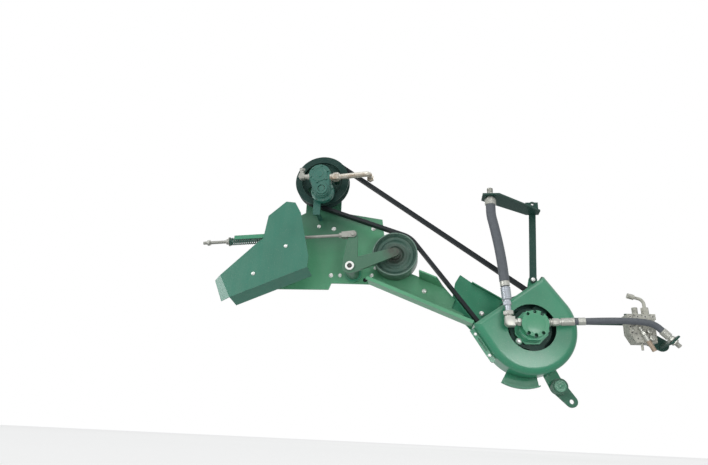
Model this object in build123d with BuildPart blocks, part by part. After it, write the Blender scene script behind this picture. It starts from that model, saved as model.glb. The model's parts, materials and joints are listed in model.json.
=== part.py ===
from build123d import *
from math import acos, atan2, cos, degrees, hypot, pi, radians, sin, tan
import os

# Hydraulic belt drive from the side bay of a combine harvester, in millimetres.
# Looking into the bay, +X is right, +Z is up and +Y goes into the machine.
# The origin is the middle of the four wall bolts, on the rear face of the plates.
# "Out" is the distance from the wall face towards the viewer, along -Y.

# Wall bolts, two across and two up
wall_pitch_x = 165
wall_pitch_z = 200
wall_hole_r = 6.5

# Plates and sheets
plate_t = 8
web_t = 5
sheet_t = 3
bolt_hole_r = 5.5
wide_hole_r = 9

# Belt line: shaft centres as X and Z
sheave_x = 660
sheave_z = -318
pump_x = -131
pump_z = 286
belt_out = 60

# Belt section, with the pitch line below its back
belt_top_w = 30
belt_base_w = 20
belt_t = 14
belt_back = 5
belt_gap = 0.4

# Pulleys
sheave_pitch_r = 125
pulley_pitch_r = 105
rim_w = 40
rim_lip = 6
groove_floor = 3
rim_t = 9
hub_w = 46
hub_r = 32
disc_t = 8
shaft_r = 17.5
run_gap = 0.05

# Sprung arm: pivot centre, arm to the idler and leg to the spring rod
pivot_x = 7
pivot_z = -94
arm_len = 179
arm_rise = 18.6
leg_len = 129
leg_rise = 86.4
arm_out = 106
arm_t = 12
pivot_r = 15.5
sleeve_r = 25
arm_root_r = 29
arm_end_r = 17
leg_end_r = 17
idler_r = 87
idler_w = 70
idler_pin_r = 12

# Spring rod, spring and its anchor
rod_r = 6
rod_len = 606
rod_slide = 2.5
anchor_reach = 322
spring_len = 165
spring_r = 16
spring_wire = 5
pin_r = 6
cheek_t = 6
side_gap = 0.5

# Channel beam from the side plate down to the guard
beam_x = 71.5
beam_z = -135.8
beam_fall = 22.6
beam_h = 104
beam_len = 424
beam_flange = 100
beam_lip = 8
beam_bolt = (210, 58.8)
web_end = 330
top_flange_from = 172
top_flange_to = 273
top_flange_slant = 31

# Guard round the lower pulley; corners are counted from the sheave's centre
guard_out = 130
guard_round = 24
window_r = 82
guard_arc = (-3, -1)
guard_clear = 3.5
guard_tip = (-200, 13)
guard_peak = (54.5, 193)
guard_shoulder = 3.2834
peak_round = 8

# Hydraulic motor in the guard's window
carrier_out = 92
motor_flange_out = 100
motor_flange_t = 14
motor_flange_r = 61
motor_body_r = 54
cap_r = 45
cap_out = 164
cap_t = 36
port_out = 182
port_rise = 7
post_r = 8
post_clear = 5.5

# Upper hydraulic unit
pump_body_r = 42
pump_back = 100
torque_w = 29
torque_x = -141.5
torque_end = 126

# Wedge-shaped sheet cover
cover_out = 150
cover_flange = 70
cover_bend = 76
cover_tilt = 15


def wall(out):
    """Plane parallel to the wall that stands out from it, with X across and Y up."""
    return Plane.XZ.offset(out)


def face_at(x, z, out):
    """The same plane with its origin at a shaft or bolt centre."""
    return Plane(origin=(x, -out, z), x_dir=(1, 0, 0), z_dir=(0, -1, 0))


def turning(x, z):
    """Plane for a turned profile: X is the radius and Y is the distance out."""
    return Plane(origin=(x, 0, z), x_dir=(1, 0, 0), z_dir=(0, 0, -1))


def polar(x, z, r, angle):
    return (x + r * cos(radians(angle)), z + r * sin(radians(angle)))


def heading(p, q):
    return degrees(atan2(q[1] - p[1], q[0] - p[0]))


def link_face(p, p_r, q, q_r):
    """Face of a flat link whose round ends have two radii."""
    span = hypot(q[0] - p[0], q[1] - p[1])
    way = heading(p, q)
    lean = degrees(acos((p_r - q_r) / span))
    p_up = polar(*p, p_r, way + lean)
    p_low = polar(*p, p_r, way - lean)
    q_up = polar(*q, q_r, way + lean)
    q_low = polar(*q, q_r, way - lean)
    with BuildSketch() as link:
        with BuildLine():
            Line(p_up, q_up)
            ThreePointArc(q_up, polar(*q, q_r, way), q_low)
            Line(q_low, p_low)
            ThreePointArc(p_low, polar(*p, p_r, way + 180), p_up)
        make_face()
    return link.sketch


def polygon_face(points):
    with BuildSketch() as shape:
        with BuildLine():
            Polyline(*points, close=True)
        make_face()
    return shape.sketch


def turned(x, z, outline):
    """Solid turned about a shaft, from an outline of radius and distance out."""
    with BuildPart() as piece:
        with BuildSketch(turning(x, z)):
            with BuildLine():
                Polyline(*outline, close=True)
            make_face()
        revolve(axis=Axis((x, 0, z), (0, -1, 0)))
    return piece.part


def stack(start, way, rows):
    """Coaxial pieces along a way. Columns: sides (0 is round), radius, length."""
    along = Vector(*way).normalized()
    place = Vector(*start)
    with BuildPart() as piece:
        for sides, r, length in rows:
            with BuildSketch(Plane(origin=place, z_dir=along)):
                if sides:
                    RegularPolygon(r, sides)
                else:
                    Circle(r)
            extrude(amount=length)
            place = place + along * length
    return piece.part


def tube(points, r):
    """Hose or pipe along straight runs, joined by arcs as large as the runs allow."""
    spots = [Vector(*p) for p in points]
    radii = []
    for before, here, after in zip(spots, spots[1:], spots[2:]):
        turn = radians((here - before).get_angle(after - here))
        short_run = min((here - before).length, (after - here).length)
        radii.append(0.45 * short_run / tan(turn / 2))
    with BuildPart() as piece:
        with BuildLine() as route:
            FilletPolyline(*points, radius=radii)
        with BuildSketch(Plane(origin=spots[0], z_dir=spots[1] - spots[0])):
            Circle(r)
        sweep(path=route.wire())
    full = pi * r * r * route.wire().length
    print("radii", [round(radius) for radius in radii], "fill", round(piece.part.volume / full, 4))
    return piece.part


def write(builder, name):
    builder.part.label = name
    export_step(builder.part, f"parts/{name}.step")


os.makedirs("parts", exist_ok=True)

# Places that follow from the sizes above
sheave = (sheave_x, sheave_z)
pump = (pump_x, pump_z)
pivot = (pivot_x, pivot_z)
idler = polar(*pivot, arm_len, arm_rise)
leg_pin = polar(*pivot, leg_len, leg_rise)
post_ring_r = sheave_pitch_r + rim_lip + post_clear + post_r
guard_arc_r = post_ring_r + post_r + guard_clear + sheet_t
rim_front = belt_out + rim_w / 2
rim_back = belt_out - rim_w / 2
hub_back = belt_out - hub_w / 2
hub_front = belt_out + hub_w / 2
arm_front = arm_out + arm_t
arm_mid = arm_out + arm_t / 2

# Side plate on the machine's wall, with a tower for the upper bearing
tower_half = 75
tower_top = pump_z + 92
side_outline = [
    (-382, -158), (-90, -158), (-80, -132), (44, -134), (74, -135), (135, -160), (146, -72),
    (118, 140), (pump_x + tower_half, 172), (pump_x + tower_half, tower_top),
    (pump_x - tower_half, tower_top), (pump_x - tower_half, 172), (-250, 150), (-382, 30),
]
with BuildPart() as side_plate:
    with BuildSketch(wall(0)):
        add(polygon_face(side_outline))
    extrude(amount=plate_t)
    fillet(side_plate.edges().filter_by(Axis.Y), 3)
    with Locations(face_at(0, 0, plate_t)):
        with GridLocations(wall_pitch_x, wall_pitch_z, 2, 2):
            Hole(wall_hole_r)
    with Locations(face_at(-46, -100, plate_t)):
        Hole(bolt_hole_r)
    with Locations(face_at(56, -118, plate_t)):
        Hole(wide_hole_r)
    with Locations(face_at(*pump, plate_t)):
        Hole(shaft_r + 4)
write(side_plate, "side_plate")


# Guard outline: a tip and a peak over one large arc, which the left wall touches
tip_reach = hypot(guard_tip[0] - guard_arc[0], guard_tip[1] - guard_arc[1])
wall_touch = heading(guard_arc, guard_tip) + degrees(acos(guard_arc_r / tip_reach))
wall_foot = polar(*guard_arc, guard_arc_r, wall_touch)
peak_reach = hypot(guard_peak[0] - guard_arc[0], guard_peak[1] - guard_arc[1])
side_touch = heading(guard_arc, guard_peak) - degrees(acos(guard_arc_r / peak_reach))
wall_heading = heading(wall_foot, guard_tip)


def guard_face():
    """Outline of the guard, with its front view's corners counted from the sheave."""
    shoulder = polar(*guard_arc, guard_arc_r, side_touch - guard_shoulder)
    with BuildSketch() as shape:
        with BuildLine():
            Polyline(wall_foot, guard_tip, guard_peak, shoulder)
            ThreePointArc(shoulder, polar(*guard_arc, guard_arc_r, -90), wall_foot)
        make_face()
        fillet(shape.vertices().sort_by(Axis.Y)[-1], peak_round)
    return shape.sketch


def guard_block(shrink, front, round_r):
    """Guard's form from its back plate to a front face, rounded round its lower edge."""
    with BuildPart() as block:
        with BuildSketch(face_at(*sheave, plate_t)):
            add(guard_face())
            if shrink:
                offset(amount=-shrink, kind=Kind.INTERSECTION)
        extrude(amount=front - plate_t)
        front_edges = block.faces().sort_by(Axis.Y)[0].edges()
        lower = [edge for edge in front_edges if edge.center().Z < sheave_z + 20]
        left_limit = sheave_x + guard_tip[0] + 10
        fillet([edge for edge in lower if edge.center().X > left_limit], round_r)
    return block.part


# Back plate of the guard: skirt under it, tongue to the beam, tab for the strap and seat for the valve
skirt_mid = (-18.5, -30)
skirt_over = 9
skirt_r = guard_arc_r + skirt_over
skirt_wedge = [(0, 0), polar(0, 0, 260, -119), polar(0, 0, 260, -80)]
rim_rise = 30
rim_wall = 4
tongue = [
    (-79.5, 126), (-189.5, 192), (-233.5, 224), (-253.5, 191), (-266.5, 126), (-311.5, 157),
    (-398, 193), (-405, 135), (-331.5, 107), (-256.5, 70), (-201.5, 12), (0, 0),
]
tongue_flange = [(-189.5, 192), (-79.5, 126), (-81.5, 122.6), (-191.5, 188.6)]
tongue_flange_rise = 20
strap_foot = (39, 206)
strap_tab_r = 16
bar_low = 37
bar_high = 61
valve_seat = [(100, bar_low - 10), (190, bar_low), (190, bar_high), (100, bar_high + 10)]
leg_top = (96, -188)
leg_foot = (138, -236)
leg_w = 52
post_angles = (60, -75, -140)
with BuildPart() as guard_back_plate:
    with BuildSketch(face_at(*sheave, 0)):
        with Locations(skirt_mid):
            Circle(skirt_r)
        add(polygon_face(skirt_wedge), mode=Mode.INTERSECT)
        add(guard_face())
        for outline in (tongue, valve_seat):
            add(polygon_face(outline))
        add(link_face((30, 120), leg_w / 2, strap_foot, strap_tab_r))
        add(link_face((68, -128), leg_w / 2 - 1, leg_top, leg_w / 2))
    extrude(amount=plate_t)
    with BuildSketch(face_at(*sheave, plate_t)):
        with Locations(skirt_mid):
            Circle(skirt_r)
            Circle(skirt_r - rim_wall, mode=Mode.SUBTRACT)
        add(polygon_face(skirt_wedge), mode=Mode.INTERSECT)
    extrude(amount=rim_rise)
    with BuildSketch(face_at(*sheave, plate_t)):
        add(polygon_face(tongue_flange))
    extrude(amount=tongue_flange_rise)
    with Locations(face_at(*sheave, plate_t)):
        Hole(shaft_r + 4)
    with Locations(face_at(sheave_x + strap_foot[0], sheave_z + strap_foot[1], plate_t)):
        Hole(bolt_hole_r)
write(guard_back_plate, "guard_back_plate")

# Bolted strip along the guard's left wall, counted from the foot of that wall
strip_w = 20
strip_t = 5
strip_back = 87
strip_up = 104
strip_down = 31
strip_round = 9
strip_holes = [(83, strip_w / 2), (-4, strip_w / 2)]


def beside_wall(out):
    """Plane at the foot of the left wall, with X up along it and Y away from it."""
    way = radians(wall_heading)
    return Plane(origin=(sheave_x + wall_foot[0], -out, sheave_z + wall_foot[1]),
                 x_dir=(cos(way), 0, sin(way)), z_dir=(0, -1, 0))


# Guard: sheet shell with a round window, open towards the belt, and a lip for the strip
mouth = [
    (guard_tip[0] - 8, guard_tip[1] + 2), (guard_peak[0] - 12, guard_peak[1] + 6),
    (guard_peak[0] - 2, guard_peak[1] - 10), (guard_tip[0] + 2, guard_tip[1] - 4),
]
guard_cavity = guard_block(sheet_t, guard_out - sheet_t, guard_round - sheet_t)
guard_form = guard_block(0, guard_out, guard_round)
with BuildPart() as drive_guard:
    add(guard_form)
    add(guard_cavity, mode=Mode.SUBTRACT)
    with BuildSketch(face_at(*sheave, plate_t)):
        add(polygon_face(mouth))
    extrude(amount=guard_out - sheet_t - plate_t, mode=Mode.SUBTRACT)
    with Locations(face_at(*sheave, guard_out)):
        Hole(window_r)
    with BuildSketch(beside_wall(strip_back - sheet_t)):
        add(polygon_face([(0, -sheet_t / 2), (strip_up, -sheet_t / 2), (strip_up, strip_w), (0, strip_w)]))
        with Locations(strip_holes[0]):
            Circle(bolt_hole_r, mode=Mode.SUBTRACT)
    extrude(amount=sheet_t)
write(drive_guard, "drive_guard")

with BuildPart() as guard_strip:
    with BuildSketch(beside_wall(strip_back)) as strip_face:
        add(polygon_face([(-strip_down, 0), (strip_up, 0), (strip_up, strip_w), (-strip_down, strip_w)]))
        fillet(strip_face.vertices().sort_by(Axis.X)[:2], strip_round)
        with Locations(*strip_holes):
            Circle(bolt_hole_r, mode=Mode.SUBTRACT)
        with Locations(((strip_holes[0][0] + strip_holes[1][0]) / 2, strip_w / 2)):
            SlotOverall(strip_up / 2, strip_t, mode=Mode.SUBTRACT)
    extrude(amount=strip_t)
write(guard_strip, "guard_strip")

# Channel beam from the side plate to the tongue, its flanges towards the viewer
fall = radians(beam_fall)
beam_way = (cos(fall), 0, -sin(fall))
beam_up = (sin(fall), 0, cos(fall))
beam_plane = Plane(origin=(beam_x, -plate_t, beam_z), x_dir=beam_way, z_dir=(0, -1, 0))
beam_top_plane = Plane(
    origin=(beam_x + beam_up[0] * beam_h, -plate_t, beam_z + beam_up[2] * beam_h),
    x_dir=beam_way, z_dir=(-beam_up[0], 0, -beam_up[2]))
beam_web = [
    (0, 0), (beam_len, 0), (beam_len - 18, 8), (web_end + 47, 35), (web_end, 38), (web_end, 74),
    (top_flange_to, beam_h), (0, beam_h),
]
top_flange = [
    (top_flange_from, 0), (top_flange_to, 0), (top_flange_to, web_t),
    (top_flange_to - top_flange_slant, web_t + beam_flange), (top_flange_from, web_t + beam_flange),
]
with BuildPart() as channel_beam:
    with BuildSketch(beam_plane):
        add(polygon_face(beam_web))
        with Locations(beam_bolt):
            Circle(bolt_hole_r, mode=Mode.SUBTRACT)
    extrude(amount=web_t)
    with BuildSketch(beam_plane):
        with Locations((beam_len / 2, web_t / 2)):
            Rectangle(beam_len, web_t)
    extrude(amount=web_t + beam_flange)
    with BuildSketch(beam_plane.offset(beam_flange)):
        with Locations((beam_len / 2, -beam_lip / 2)):
            Rectangle(beam_len, beam_lip)
    extrude(amount=web_t)
    with BuildSketch(beam_top_plane):
        add(polygon_face(top_flange))
    extrude(amount=web_t)
write(channel_beam, "channel_beam")

# Belt: two pulleys on a common tangent, and the idler on the back of the lower strand
idler_pitch_r = idler_r + belt_gap + belt_back
top_span = hypot(pump_x - sheave_x, pump_z - sheave_z)
top_normal = heading(sheave, pump) - degrees(acos((sheave_pitch_r - pulley_pitch_r) / top_span))
low_span = hypot(idler[0] - sheave_x, idler[1] - sheave_z)
low_normal = heading(sheave, idler) + degrees(acos((sheave_pitch_r + idler_pitch_r) / low_span))
rear_span = hypot(idler[0] - pump_x, idler[1] - pump_z)
rear_normal = heading(pump, idler) - degrees(acos((pulley_pitch_r + idler_pitch_r) / rear_span)) + 360
loop_start = polar(*sheave, sheave_pitch_r, top_normal)
pump_top = polar(*pump, pulley_pitch_r, top_normal)
pump_mid = polar(*pump, pulley_pitch_r, (top_normal + rear_normal) / 2)
pump_low = polar(*pump, pulley_pitch_r, rear_normal)
idler_up = polar(*idler, idler_pitch_r, rear_normal - 180)
idler_mid = polar(*idler, idler_pitch_r, (rear_normal + low_normal) / 2 - 180)
idler_low = polar(*idler, idler_pitch_r, low_normal - 180)
sheave_low = polar(*sheave, sheave_pitch_r, low_normal)
sheave_mid = polar(*sheave, sheave_pitch_r, (low_normal + top_normal + 360) / 2)
run_way = (pump_top[0] - loop_start[0], 0, pump_top[1] - loop_start[1])
belt_plane = Plane(origin=(loop_start[0], -belt_out, loop_start[1]), x_dir=(0, -1, 0), z_dir=run_way)
belt_section = [
    (-belt_top_w / 2, belt_back), (belt_top_w / 2, belt_back),
    (belt_base_w / 2, belt_back - belt_t), (-belt_base_w / 2, belt_back - belt_t),
]
with BuildPart() as belt:
    with BuildLine(wall(belt_out)) as loop:
        Line(loop_start, pump_top)
        ThreePointArc(pump_top, pump_mid, pump_low)
        Line(pump_low, idler_up)
        ThreePointArc(idler_up, idler_mid, idler_low)
        Line(idler_low, sheave_low)
        ThreePointArc(sheave_low, sheave_mid, loop_start)
    with BuildSketch(belt_plane):
        add(polygon_face(belt_section))
    sweep(path=loop.wire())
write(belt, "belt")


def grooved_wheel(x, z, pitch_r):
    """Sheave with one V groove, a disc and a hub, bored for its shaft."""
    rim_r = pitch_r + rim_lip
    floor_r = pitch_r + belt_back - belt_t - groove_floor
    rim_in = floor_r - rim_t
    slope = (belt_top_w - belt_base_w) / 2 / belt_t
    side_clear = belt_gap * hypot(1, slope)
    top_half = belt_top_w / 2 + (rim_lip - belt_back) * slope + side_clear
    floor_half = belt_base_w / 2 - groove_floor * slope + side_clear
    disc_half = disc_t / 2
    return turned(x, z, [
        (shaft_r, hub_back), (hub_r, hub_back), (hub_r, belt_out - disc_half),
        (rim_in, belt_out - disc_half), (rim_in, rim_back), (rim_r, rim_back),
        (rim_r, belt_out - top_half), (floor_r, belt_out - floor_half),
        (floor_r, belt_out + floor_half), (rim_r, belt_out + top_half), (rim_r, rim_front),
        (rim_in, rim_front), (rim_in, belt_out + disc_half), (hub_r, belt_out + disc_half),
        (hub_r, hub_front), (shaft_r, hub_front),
    ])


# Wheels; columns: name, centre, pitch radius, number of holes, radius of their ring
wheel_table = [
    ("drive_sheave", sheave, sheave_pitch_r, 6, 68),
    ("upper_pulley", pump, pulley_pitch_r, 5, 58),
]
for wheel_name, centre, pitch_r, hole_count, hole_ring in wheel_table:
    blank = grooved_wheel(*centre, pitch_r)
    with BuildPart() as wheel:
        add(blank)
        with Locations(face_at(*centre, rim_front)):
            with PolarLocations(hole_ring, int(hole_count)):
                Hole(13)
    write(wheel, wheel_name)

# Bearings and shafts; columns: bearing, shaft, centre, front end of the shaft
housing_r = 58
boss_r = 36
boss_front = hub_back - 3
bearing_table = [
    ("lower_bearing", "drive_shaft", sheave, carrier_out + 2),
    ("upper_bearing", "pulley_shaft", pump, pump_back + 20),
]
for bearing_name, shaft_name, centre, shaft_front in bearing_table:
    bore = shaft_r + run_gap
    housing = turned(*centre, [
        (bore, plate_t), (housing_r, plate_t), (housing_r, plate_t + 9), (boss_r, plate_t + 12),
        (boss_r - 2, boss_front), (bore, boss_front),
    ])
    with BuildPart() as bearing:
        add(housing)
        with Locations(face_at(*centre, plate_t + 12)):
            with PolarLocations(47, 4, start_angle=45):
                Hole(bolt_hole_r)
    write(bearing, bearing_name)
    with BuildPart() as shaft:
        with BuildSketch(face_at(*centre, 4)):
            Circle(shaft_r)
        extrude(amount=shaft_front - 4)
        chamfer(shaft.faces().sort_by(Axis.Y)[0].edges(), 1.5)
    write(shaft, shaft_name)

# Motor carrier: plate on three posts round the sheave
carrier_t = motor_flange_out - carrier_out
with BuildPart() as motor_carrier:
    with BuildSketch(face_at(*sheave, carrier_out)):
        Circle(72)
        for angle in post_angles:
            add(link_face((0, 0), 40, polar(0, 0, post_ring_r, angle), post_r + 1))
        Circle(shaft_r + 4, mode=Mode.SUBTRACT)
    extrude(amount=carrier_t)
    with BuildSketch(face_at(*sheave, plate_t)):
        for angle in post_angles:
            with Locations(polar(0, 0, post_ring_r, angle)):
                Circle(post_r)
    extrude(amount=carrier_out - plate_t)
write(motor_carrier, "motor_carrier")

# Motor housing: bolted flange and many-sided body
motor_body_out = motor_flange_out + motor_flange_t
with BuildPart() as motor_housing:
    with BuildSketch(face_at(*sheave, motor_flange_out)):
        RegularPolygon(motor_flange_r, 8, rotation=22.5)
        with Locations(polar(0, 0, motor_flange_r + 3, -134)):
            Circle(12)
    extrude(amount=motor_flange_t)
    with BuildSketch(face_at(*sheave, motor_body_out)):
        RegularPolygon(motor_body_r, 8, rotation=22.5)
    extrude(amount=cap_out - motor_body_out)
write(motor_housing, "motor_housing")

# Motor cap: scalloped round its bolts above and below, with a port each side
notch_angles = (54, 90, 126, -54, -90, -126)
notch_r = 6
notch_back = 10
with BuildPart() as motor_cap:
    with BuildSketch(face_at(*sheave, cap_out)):
        Circle(cap_r)
    extrude(amount=cap_t)
    with BuildSketch(face_at(*sheave, cap_out + notch_back)):
        for angle in notch_angles:
            with Locations(polar(0, 0, cap_r - 5, angle)):
                Circle(notch_r)
    extrude(amount=cap_t, mode=Mode.SUBTRACT)
write(motor_cap, "motor_cap")

# Left port: elbow up to the upright hose. Columns of each row: sides, radius, length
hose_r = 17.5
side_hose_r = 11
port_z = sheave_z + port_rise
elbow_reach = 82
elbow_x = sheave_x - elbow_reach
elbow_half = 17
elbow_lean = 4
elbow_way = Vector(-sin(radians(elbow_lean)), 0, cos(radians(elbow_lean)))
elbow_mid = Vector(elbow_x, -port_out, port_z)
port_left = (sheave_x - cap_r + 1, -port_out, port_z)
elbow_up_rows = [(0, 12, elbow_half + 6), (6, 19, 14)]
elbow_nut = stack(port_left, (-1, 0, 0), [(6, 14, 13)])
elbow_leg = stack(port_left, (-1, 0, 0), [(0, 11, port_left[0] - elbow_x)])
elbow_up = stack(elbow_mid, elbow_way, elbow_up_rows)
with BuildPart() as left_elbow:
    with BuildSketch(Plane.XZ.offset(port_out - elbow_half)) as elbow_face:
        with Locations((elbow_x, port_z)):
            Rectangle(2 * elbow_half, 2 * elbow_half)
        fillet(elbow_face.vertices().sort_by(Axis.X)[:2].sort_by(Axis.Y)[0], elbow_half - 3)
    extrude(amount=2 * elbow_half)
    add(elbow_nut)
    add(elbow_leg)
    add(elbow_up)
    with BuildSketch(face_at(*sheave, cap_out)):
        Circle(cap_r)
    extrude(amount=cap_t, mode=Mode.SUBTRACT)
write(left_elbow, "left_elbow")

up_rows = [(0, 10.5, 20), (6, 15, 13), (0, 12.5, 6), (0, 17, 46), (0, 14, 4), (0, 16, 17)]
up_foot = elbow_mid + elbow_way * sum(row[2] for row in elbow_up_rows)
up_hose_foot = up_foot + elbow_way * sum(row[2] for row in up_rows)
up_end_stack = stack(up_foot, elbow_way, up_rows)
with BuildPart() as up_hose_end:
    add(up_end_stack)
write(up_hose_end, "up_hose_end")

up_hose_rise = 442
up_hose_shift = 45
up_hose_top = sheave_z + up_hose_rise
up_top_x = elbow_x - up_hose_shift
up_bend = up_hose_foot + elbow_way * 70
up_points = [
    tuple(up_hose_foot), tuple(up_bend), (up_bend.X - 9, -port_out, up_bend.Z + 69),
    (up_bend.X - 21, -port_out, up_bend.Z + 138), (up_top_x, -port_out, up_hose_top - 40),
    (up_top_x, -port_out, up_hose_top),
]
up_tube = tube(up_points, hose_r)
with BuildPart() as up_hose:
    add(up_tube)
write(up_hose, "up_hose")

# Right port: straight fitting and the side hose
right_rows = [
    (0, 10, 5), (0, 13, 4), (0, 9, 4), (6, 13, 23), (0, 10.5, 5), (0, 13.5, 44), (0, 9.5, 12), (0, 13, 24),
]
right_way = Vector(1, 0, 0.05).normalized()
port_right = Vector(sheave_x + cap_r - 1, -port_out, port_z)
side_foot = port_right + right_way * sum(row[2] for row in right_rows)
right_stack = stack(port_right, right_way, right_rows)
with BuildPart() as side_hose_end:
    add(right_stack)
    with BuildSketch(face_at(*sheave, cap_out)):
        Circle(cap_r)
    extrude(amount=cap_t, mode=Mode.SUBTRACT)
write(side_hose_end, "side_hose_end")

# Side hose route; columns: right of its foot, above it
side_route = [
    (51.5, 2.575), (103.5, 3.7), (151.5, 3), (185.5, 0.9), (209, -4.1), (226.5, -13.8), (238.7, -26.9),
]
side_points = [tuple(side_foot)] + [(side_foot.X + x, -port_out, side_foot.Z + z) for x, z in side_route]
side_tube = tube(side_points, side_hose_r)
with BuildPart() as side_hose:
    add(side_tube)
write(side_hose, "side_hose")

# Upright strap above the guard, and the shelf that holds the top of the upright hose
strap_t = 5
strap_top = (57, 517)
strap_r = 13
shelf_t = 6
shelf_tab_x = 54
shelf_tab_w = 48
shelf_tab_h = 52
lock_r = 13.5
up_lock_rows = [(0, 20.5, 22), (6, 17, 8)]
shelf_z = up_hose_top + sum(row[2] for row in up_lock_rows)
with BuildPart() as upright_strap:
    with BuildSketch(face_at(*sheave, plate_t)):
        add(link_face(strap_foot, strap_r, strap_top, strap_r))
        with Locations(strap_foot, strap_top):
            Circle(bolt_hole_r, mode=Mode.SUBTRACT)
    extrude(amount=strap_t)
write(upright_strap, "upright_strap")

shelf_back = plate_t + strap_t
shelf_outline = [
    (sheave_x + 78, -shelf_back), (sheave_x + 78, -shelf_back - 40), (up_top_x + 30, -port_out - 30),
    (up_top_x - 30, -port_out - 30), (up_top_x - 30, -port_out + 26), (sheave_x + 30, -shelf_back),
]
with BuildPart() as hose_shelf:
    with BuildSketch(Plane.XY.offset(shelf_z)):
        add(polygon_face(shelf_outline))
        with Locations((up_top_x, -port_out)):
            Circle(lock_r, mode=Mode.SUBTRACT)
    extrude(amount=shelf_t)
    with BuildSketch(face_at(sheave_x + shelf_tab_x, shelf_z, shelf_back)):
        with Locations((0, shelf_tab_h / 2)):
            Rectangle(shelf_tab_w, shelf_tab_h)
        with Locations((strap_top[0] - shelf_tab_x, strap_top[1] + sheave_z - shelf_z)):
            Circle(bolt_hole_r, mode=Mode.SUBTRACT)
    extrude(amount=shelf_t)
write(hose_shelf, "hose_shelf")

up_lock_rows += [(0, lock_r, shelf_t), (6, 17, 10), (0, 11, 22)]
up_lock = stack((up_top_x, -port_out, up_hose_top), (0, 0, 1), up_lock_rows)
with BuildPart() as up_bulkhead:
    add(up_lock)
write(up_bulkhead, "up_bulkhead")

# Valve arm right of the guard: bar, web and end plate for the valve, and a lug for the hose
valve_reach = 355.5
valve_drop = 9.5
valve_x = sheave_x + valve_reach
valve_z = sheave_z - valve_drop
valve_w = 85
valve_h = 77
valve_back = 95
valve_front = 150
valve_bar_h = 19
valve_bar_w = 90
valve_cut_w = 17
valve_cut_h = 32
valve_web_w = 56
bar_from = sheave_x + guard_arc[0] + guard_arc_r - 4
bar_to = valve_x + 36
bar_mid = sheave_z + (bar_low + bar_high) / 2
bar_front = plate_t + 8
end_plate_t = 8
end_plate_back = valve_back - end_plate_t
hose_end = Vector(*side_points[-1])
hose_way = (hose_end - Vector(*side_points[-2])).normalized()
side_lock_rows = [(0, 13.5, 28), (0, 10, 5), (6, 13, 8)]
lug_at = hose_end + hose_way * sum(row[2] for row in side_lock_rows)
lug_plane = Plane(origin=lug_at, x_dir=(0, -1, 0), z_dir=hose_way)
lug_t = 6
lug_hole_r = 9
lug_front = port_out + 20
lug_half = 18
lug_mid = (lug_at.X + hose_way.X * lug_t / 2, lug_at.Z + hose_way.Z * lug_t / 2)
valve_plate = [
    (valve_x - 32, sheave_z + bar_high), (valve_x + 32, sheave_z + bar_high),
    (valve_x + 32, valve_z - valve_h / 3), (valve_x - 25, valve_z - valve_h / 3),
]
with BuildPart() as valve_arm:
    with BuildSketch(wall(plate_t)):
        with Locations(((bar_from + bar_to) / 2, bar_mid)):
            Rectangle(bar_to - bar_from, bar_high - bar_low)
    extrude(amount=bar_front - plate_t)
    with BuildSketch(wall(bar_front)):
        with Locations((valve_x, bar_mid)):
            Rectangle(valve_web_w, end_plate_t)
    extrude(amount=end_plate_back - bar_front)
    with BuildSketch(wall(end_plate_back)):
        add(polygon_face(valve_plate))
        add(link_face((valve_x + 8, valve_z), valve_h / 3, lug_mid, lug_half + 3))
    extrude(amount=end_plate_t)
    with BuildSketch(lug_plane):
        with Locations(((valve_back + lug_front) / 2 - port_out, 0)):
            Rectangle(lug_front - valve_back, 2 * lug_half)
        Circle(lug_hole_r, mode=Mode.SUBTRACT)
    extrude(amount=lug_t)
write(valve_arm, "valve_arm")

# Valve: block with a cut corner, bar over it, ports, a bent pipe and a drain across its face
valve_left = valve_x - valve_w / 2
valve_right = valve_x + valve_w / 2
valve_low = valve_z - valve_h / 2
valve_high = valve_z + valve_h / 2
valve_top = valve_high + valve_bar_h
valve_outline = [
    (valve_left, valve_high), (valve_left, valve_low + valve_cut_h), (valve_left + valve_cut_w, valve_low),
    (valve_right, valve_low), (valve_right, valve_high),
]
pipe_x = valve_x + 25
pipe_out = 125
pipe_r = 5.5
pipe_foot = 20
pipe_bend = 55
pipe_reach = 38
pipe_rise = 11
pipe_nut_h = 27
nipple_h = 24
port_rim = 8
pipe_top = Vector(pipe_x, -pipe_out, valve_top + pipe_bend)
pipe_way = Vector(-pipe_reach, 0, pipe_rise)
pipe_points = [(pipe_x, -pipe_out, valve_top + pipe_foot), tuple(pipe_top), tuple(pipe_top + pipe_way)]
bent_pipe = tube(pipe_points, pipe_r)
pipe_end = stack(pipe_top + pipe_way * 0.8, pipe_way, [(0, 9, 22)])
drain_rows = [(0, 5, 16), (6, 8, 34), (0, 7, 38)]
drain = stack((valve_x - 11, -valve_front - 5, valve_z + 12), (0.43, 0, -0.9), drain_rows)
with BuildPart() as valve_block:
    with BuildSketch(wall(valve_back)):
        add(polygon_face(valve_outline))
    extrude(amount=valve_front - valve_back)
    with BuildSketch(wall(valve_back)):
        with Locations((valve_x + 1.5, valve_high + valve_bar_h / 2)):
            Rectangle(valve_bar_w, valve_bar_h)
    extrude(amount=valve_front - valve_back + 2)
    with BuildSketch(Plane.XY.offset(valve_top)):
        with Locations((pipe_x, -pipe_out)):
            RegularPolygon(13, 6)
        with Locations((valve_x - 8, -pipe_out)):
            Circle(9.5)
    extrude(amount=pipe_nut_h)
    with BuildSketch(wall(valve_front)):
        with Locations((valve_x + 21, valve_z), (valve_x + 26, valve_z - 24)):
            Circle(10)
    extrude(amount=port_rim)
    with BuildSketch(Plane.XY.offset(valve_low - nipple_h)):
        with Locations((valve_x - 4, -valve_front + 12)):
            Circle(4)
    extrude(amount=nipple_h)
    add(bent_pipe)
    add(pipe_end)
    add(drain)
write(valve_block, "valve_block")

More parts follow.
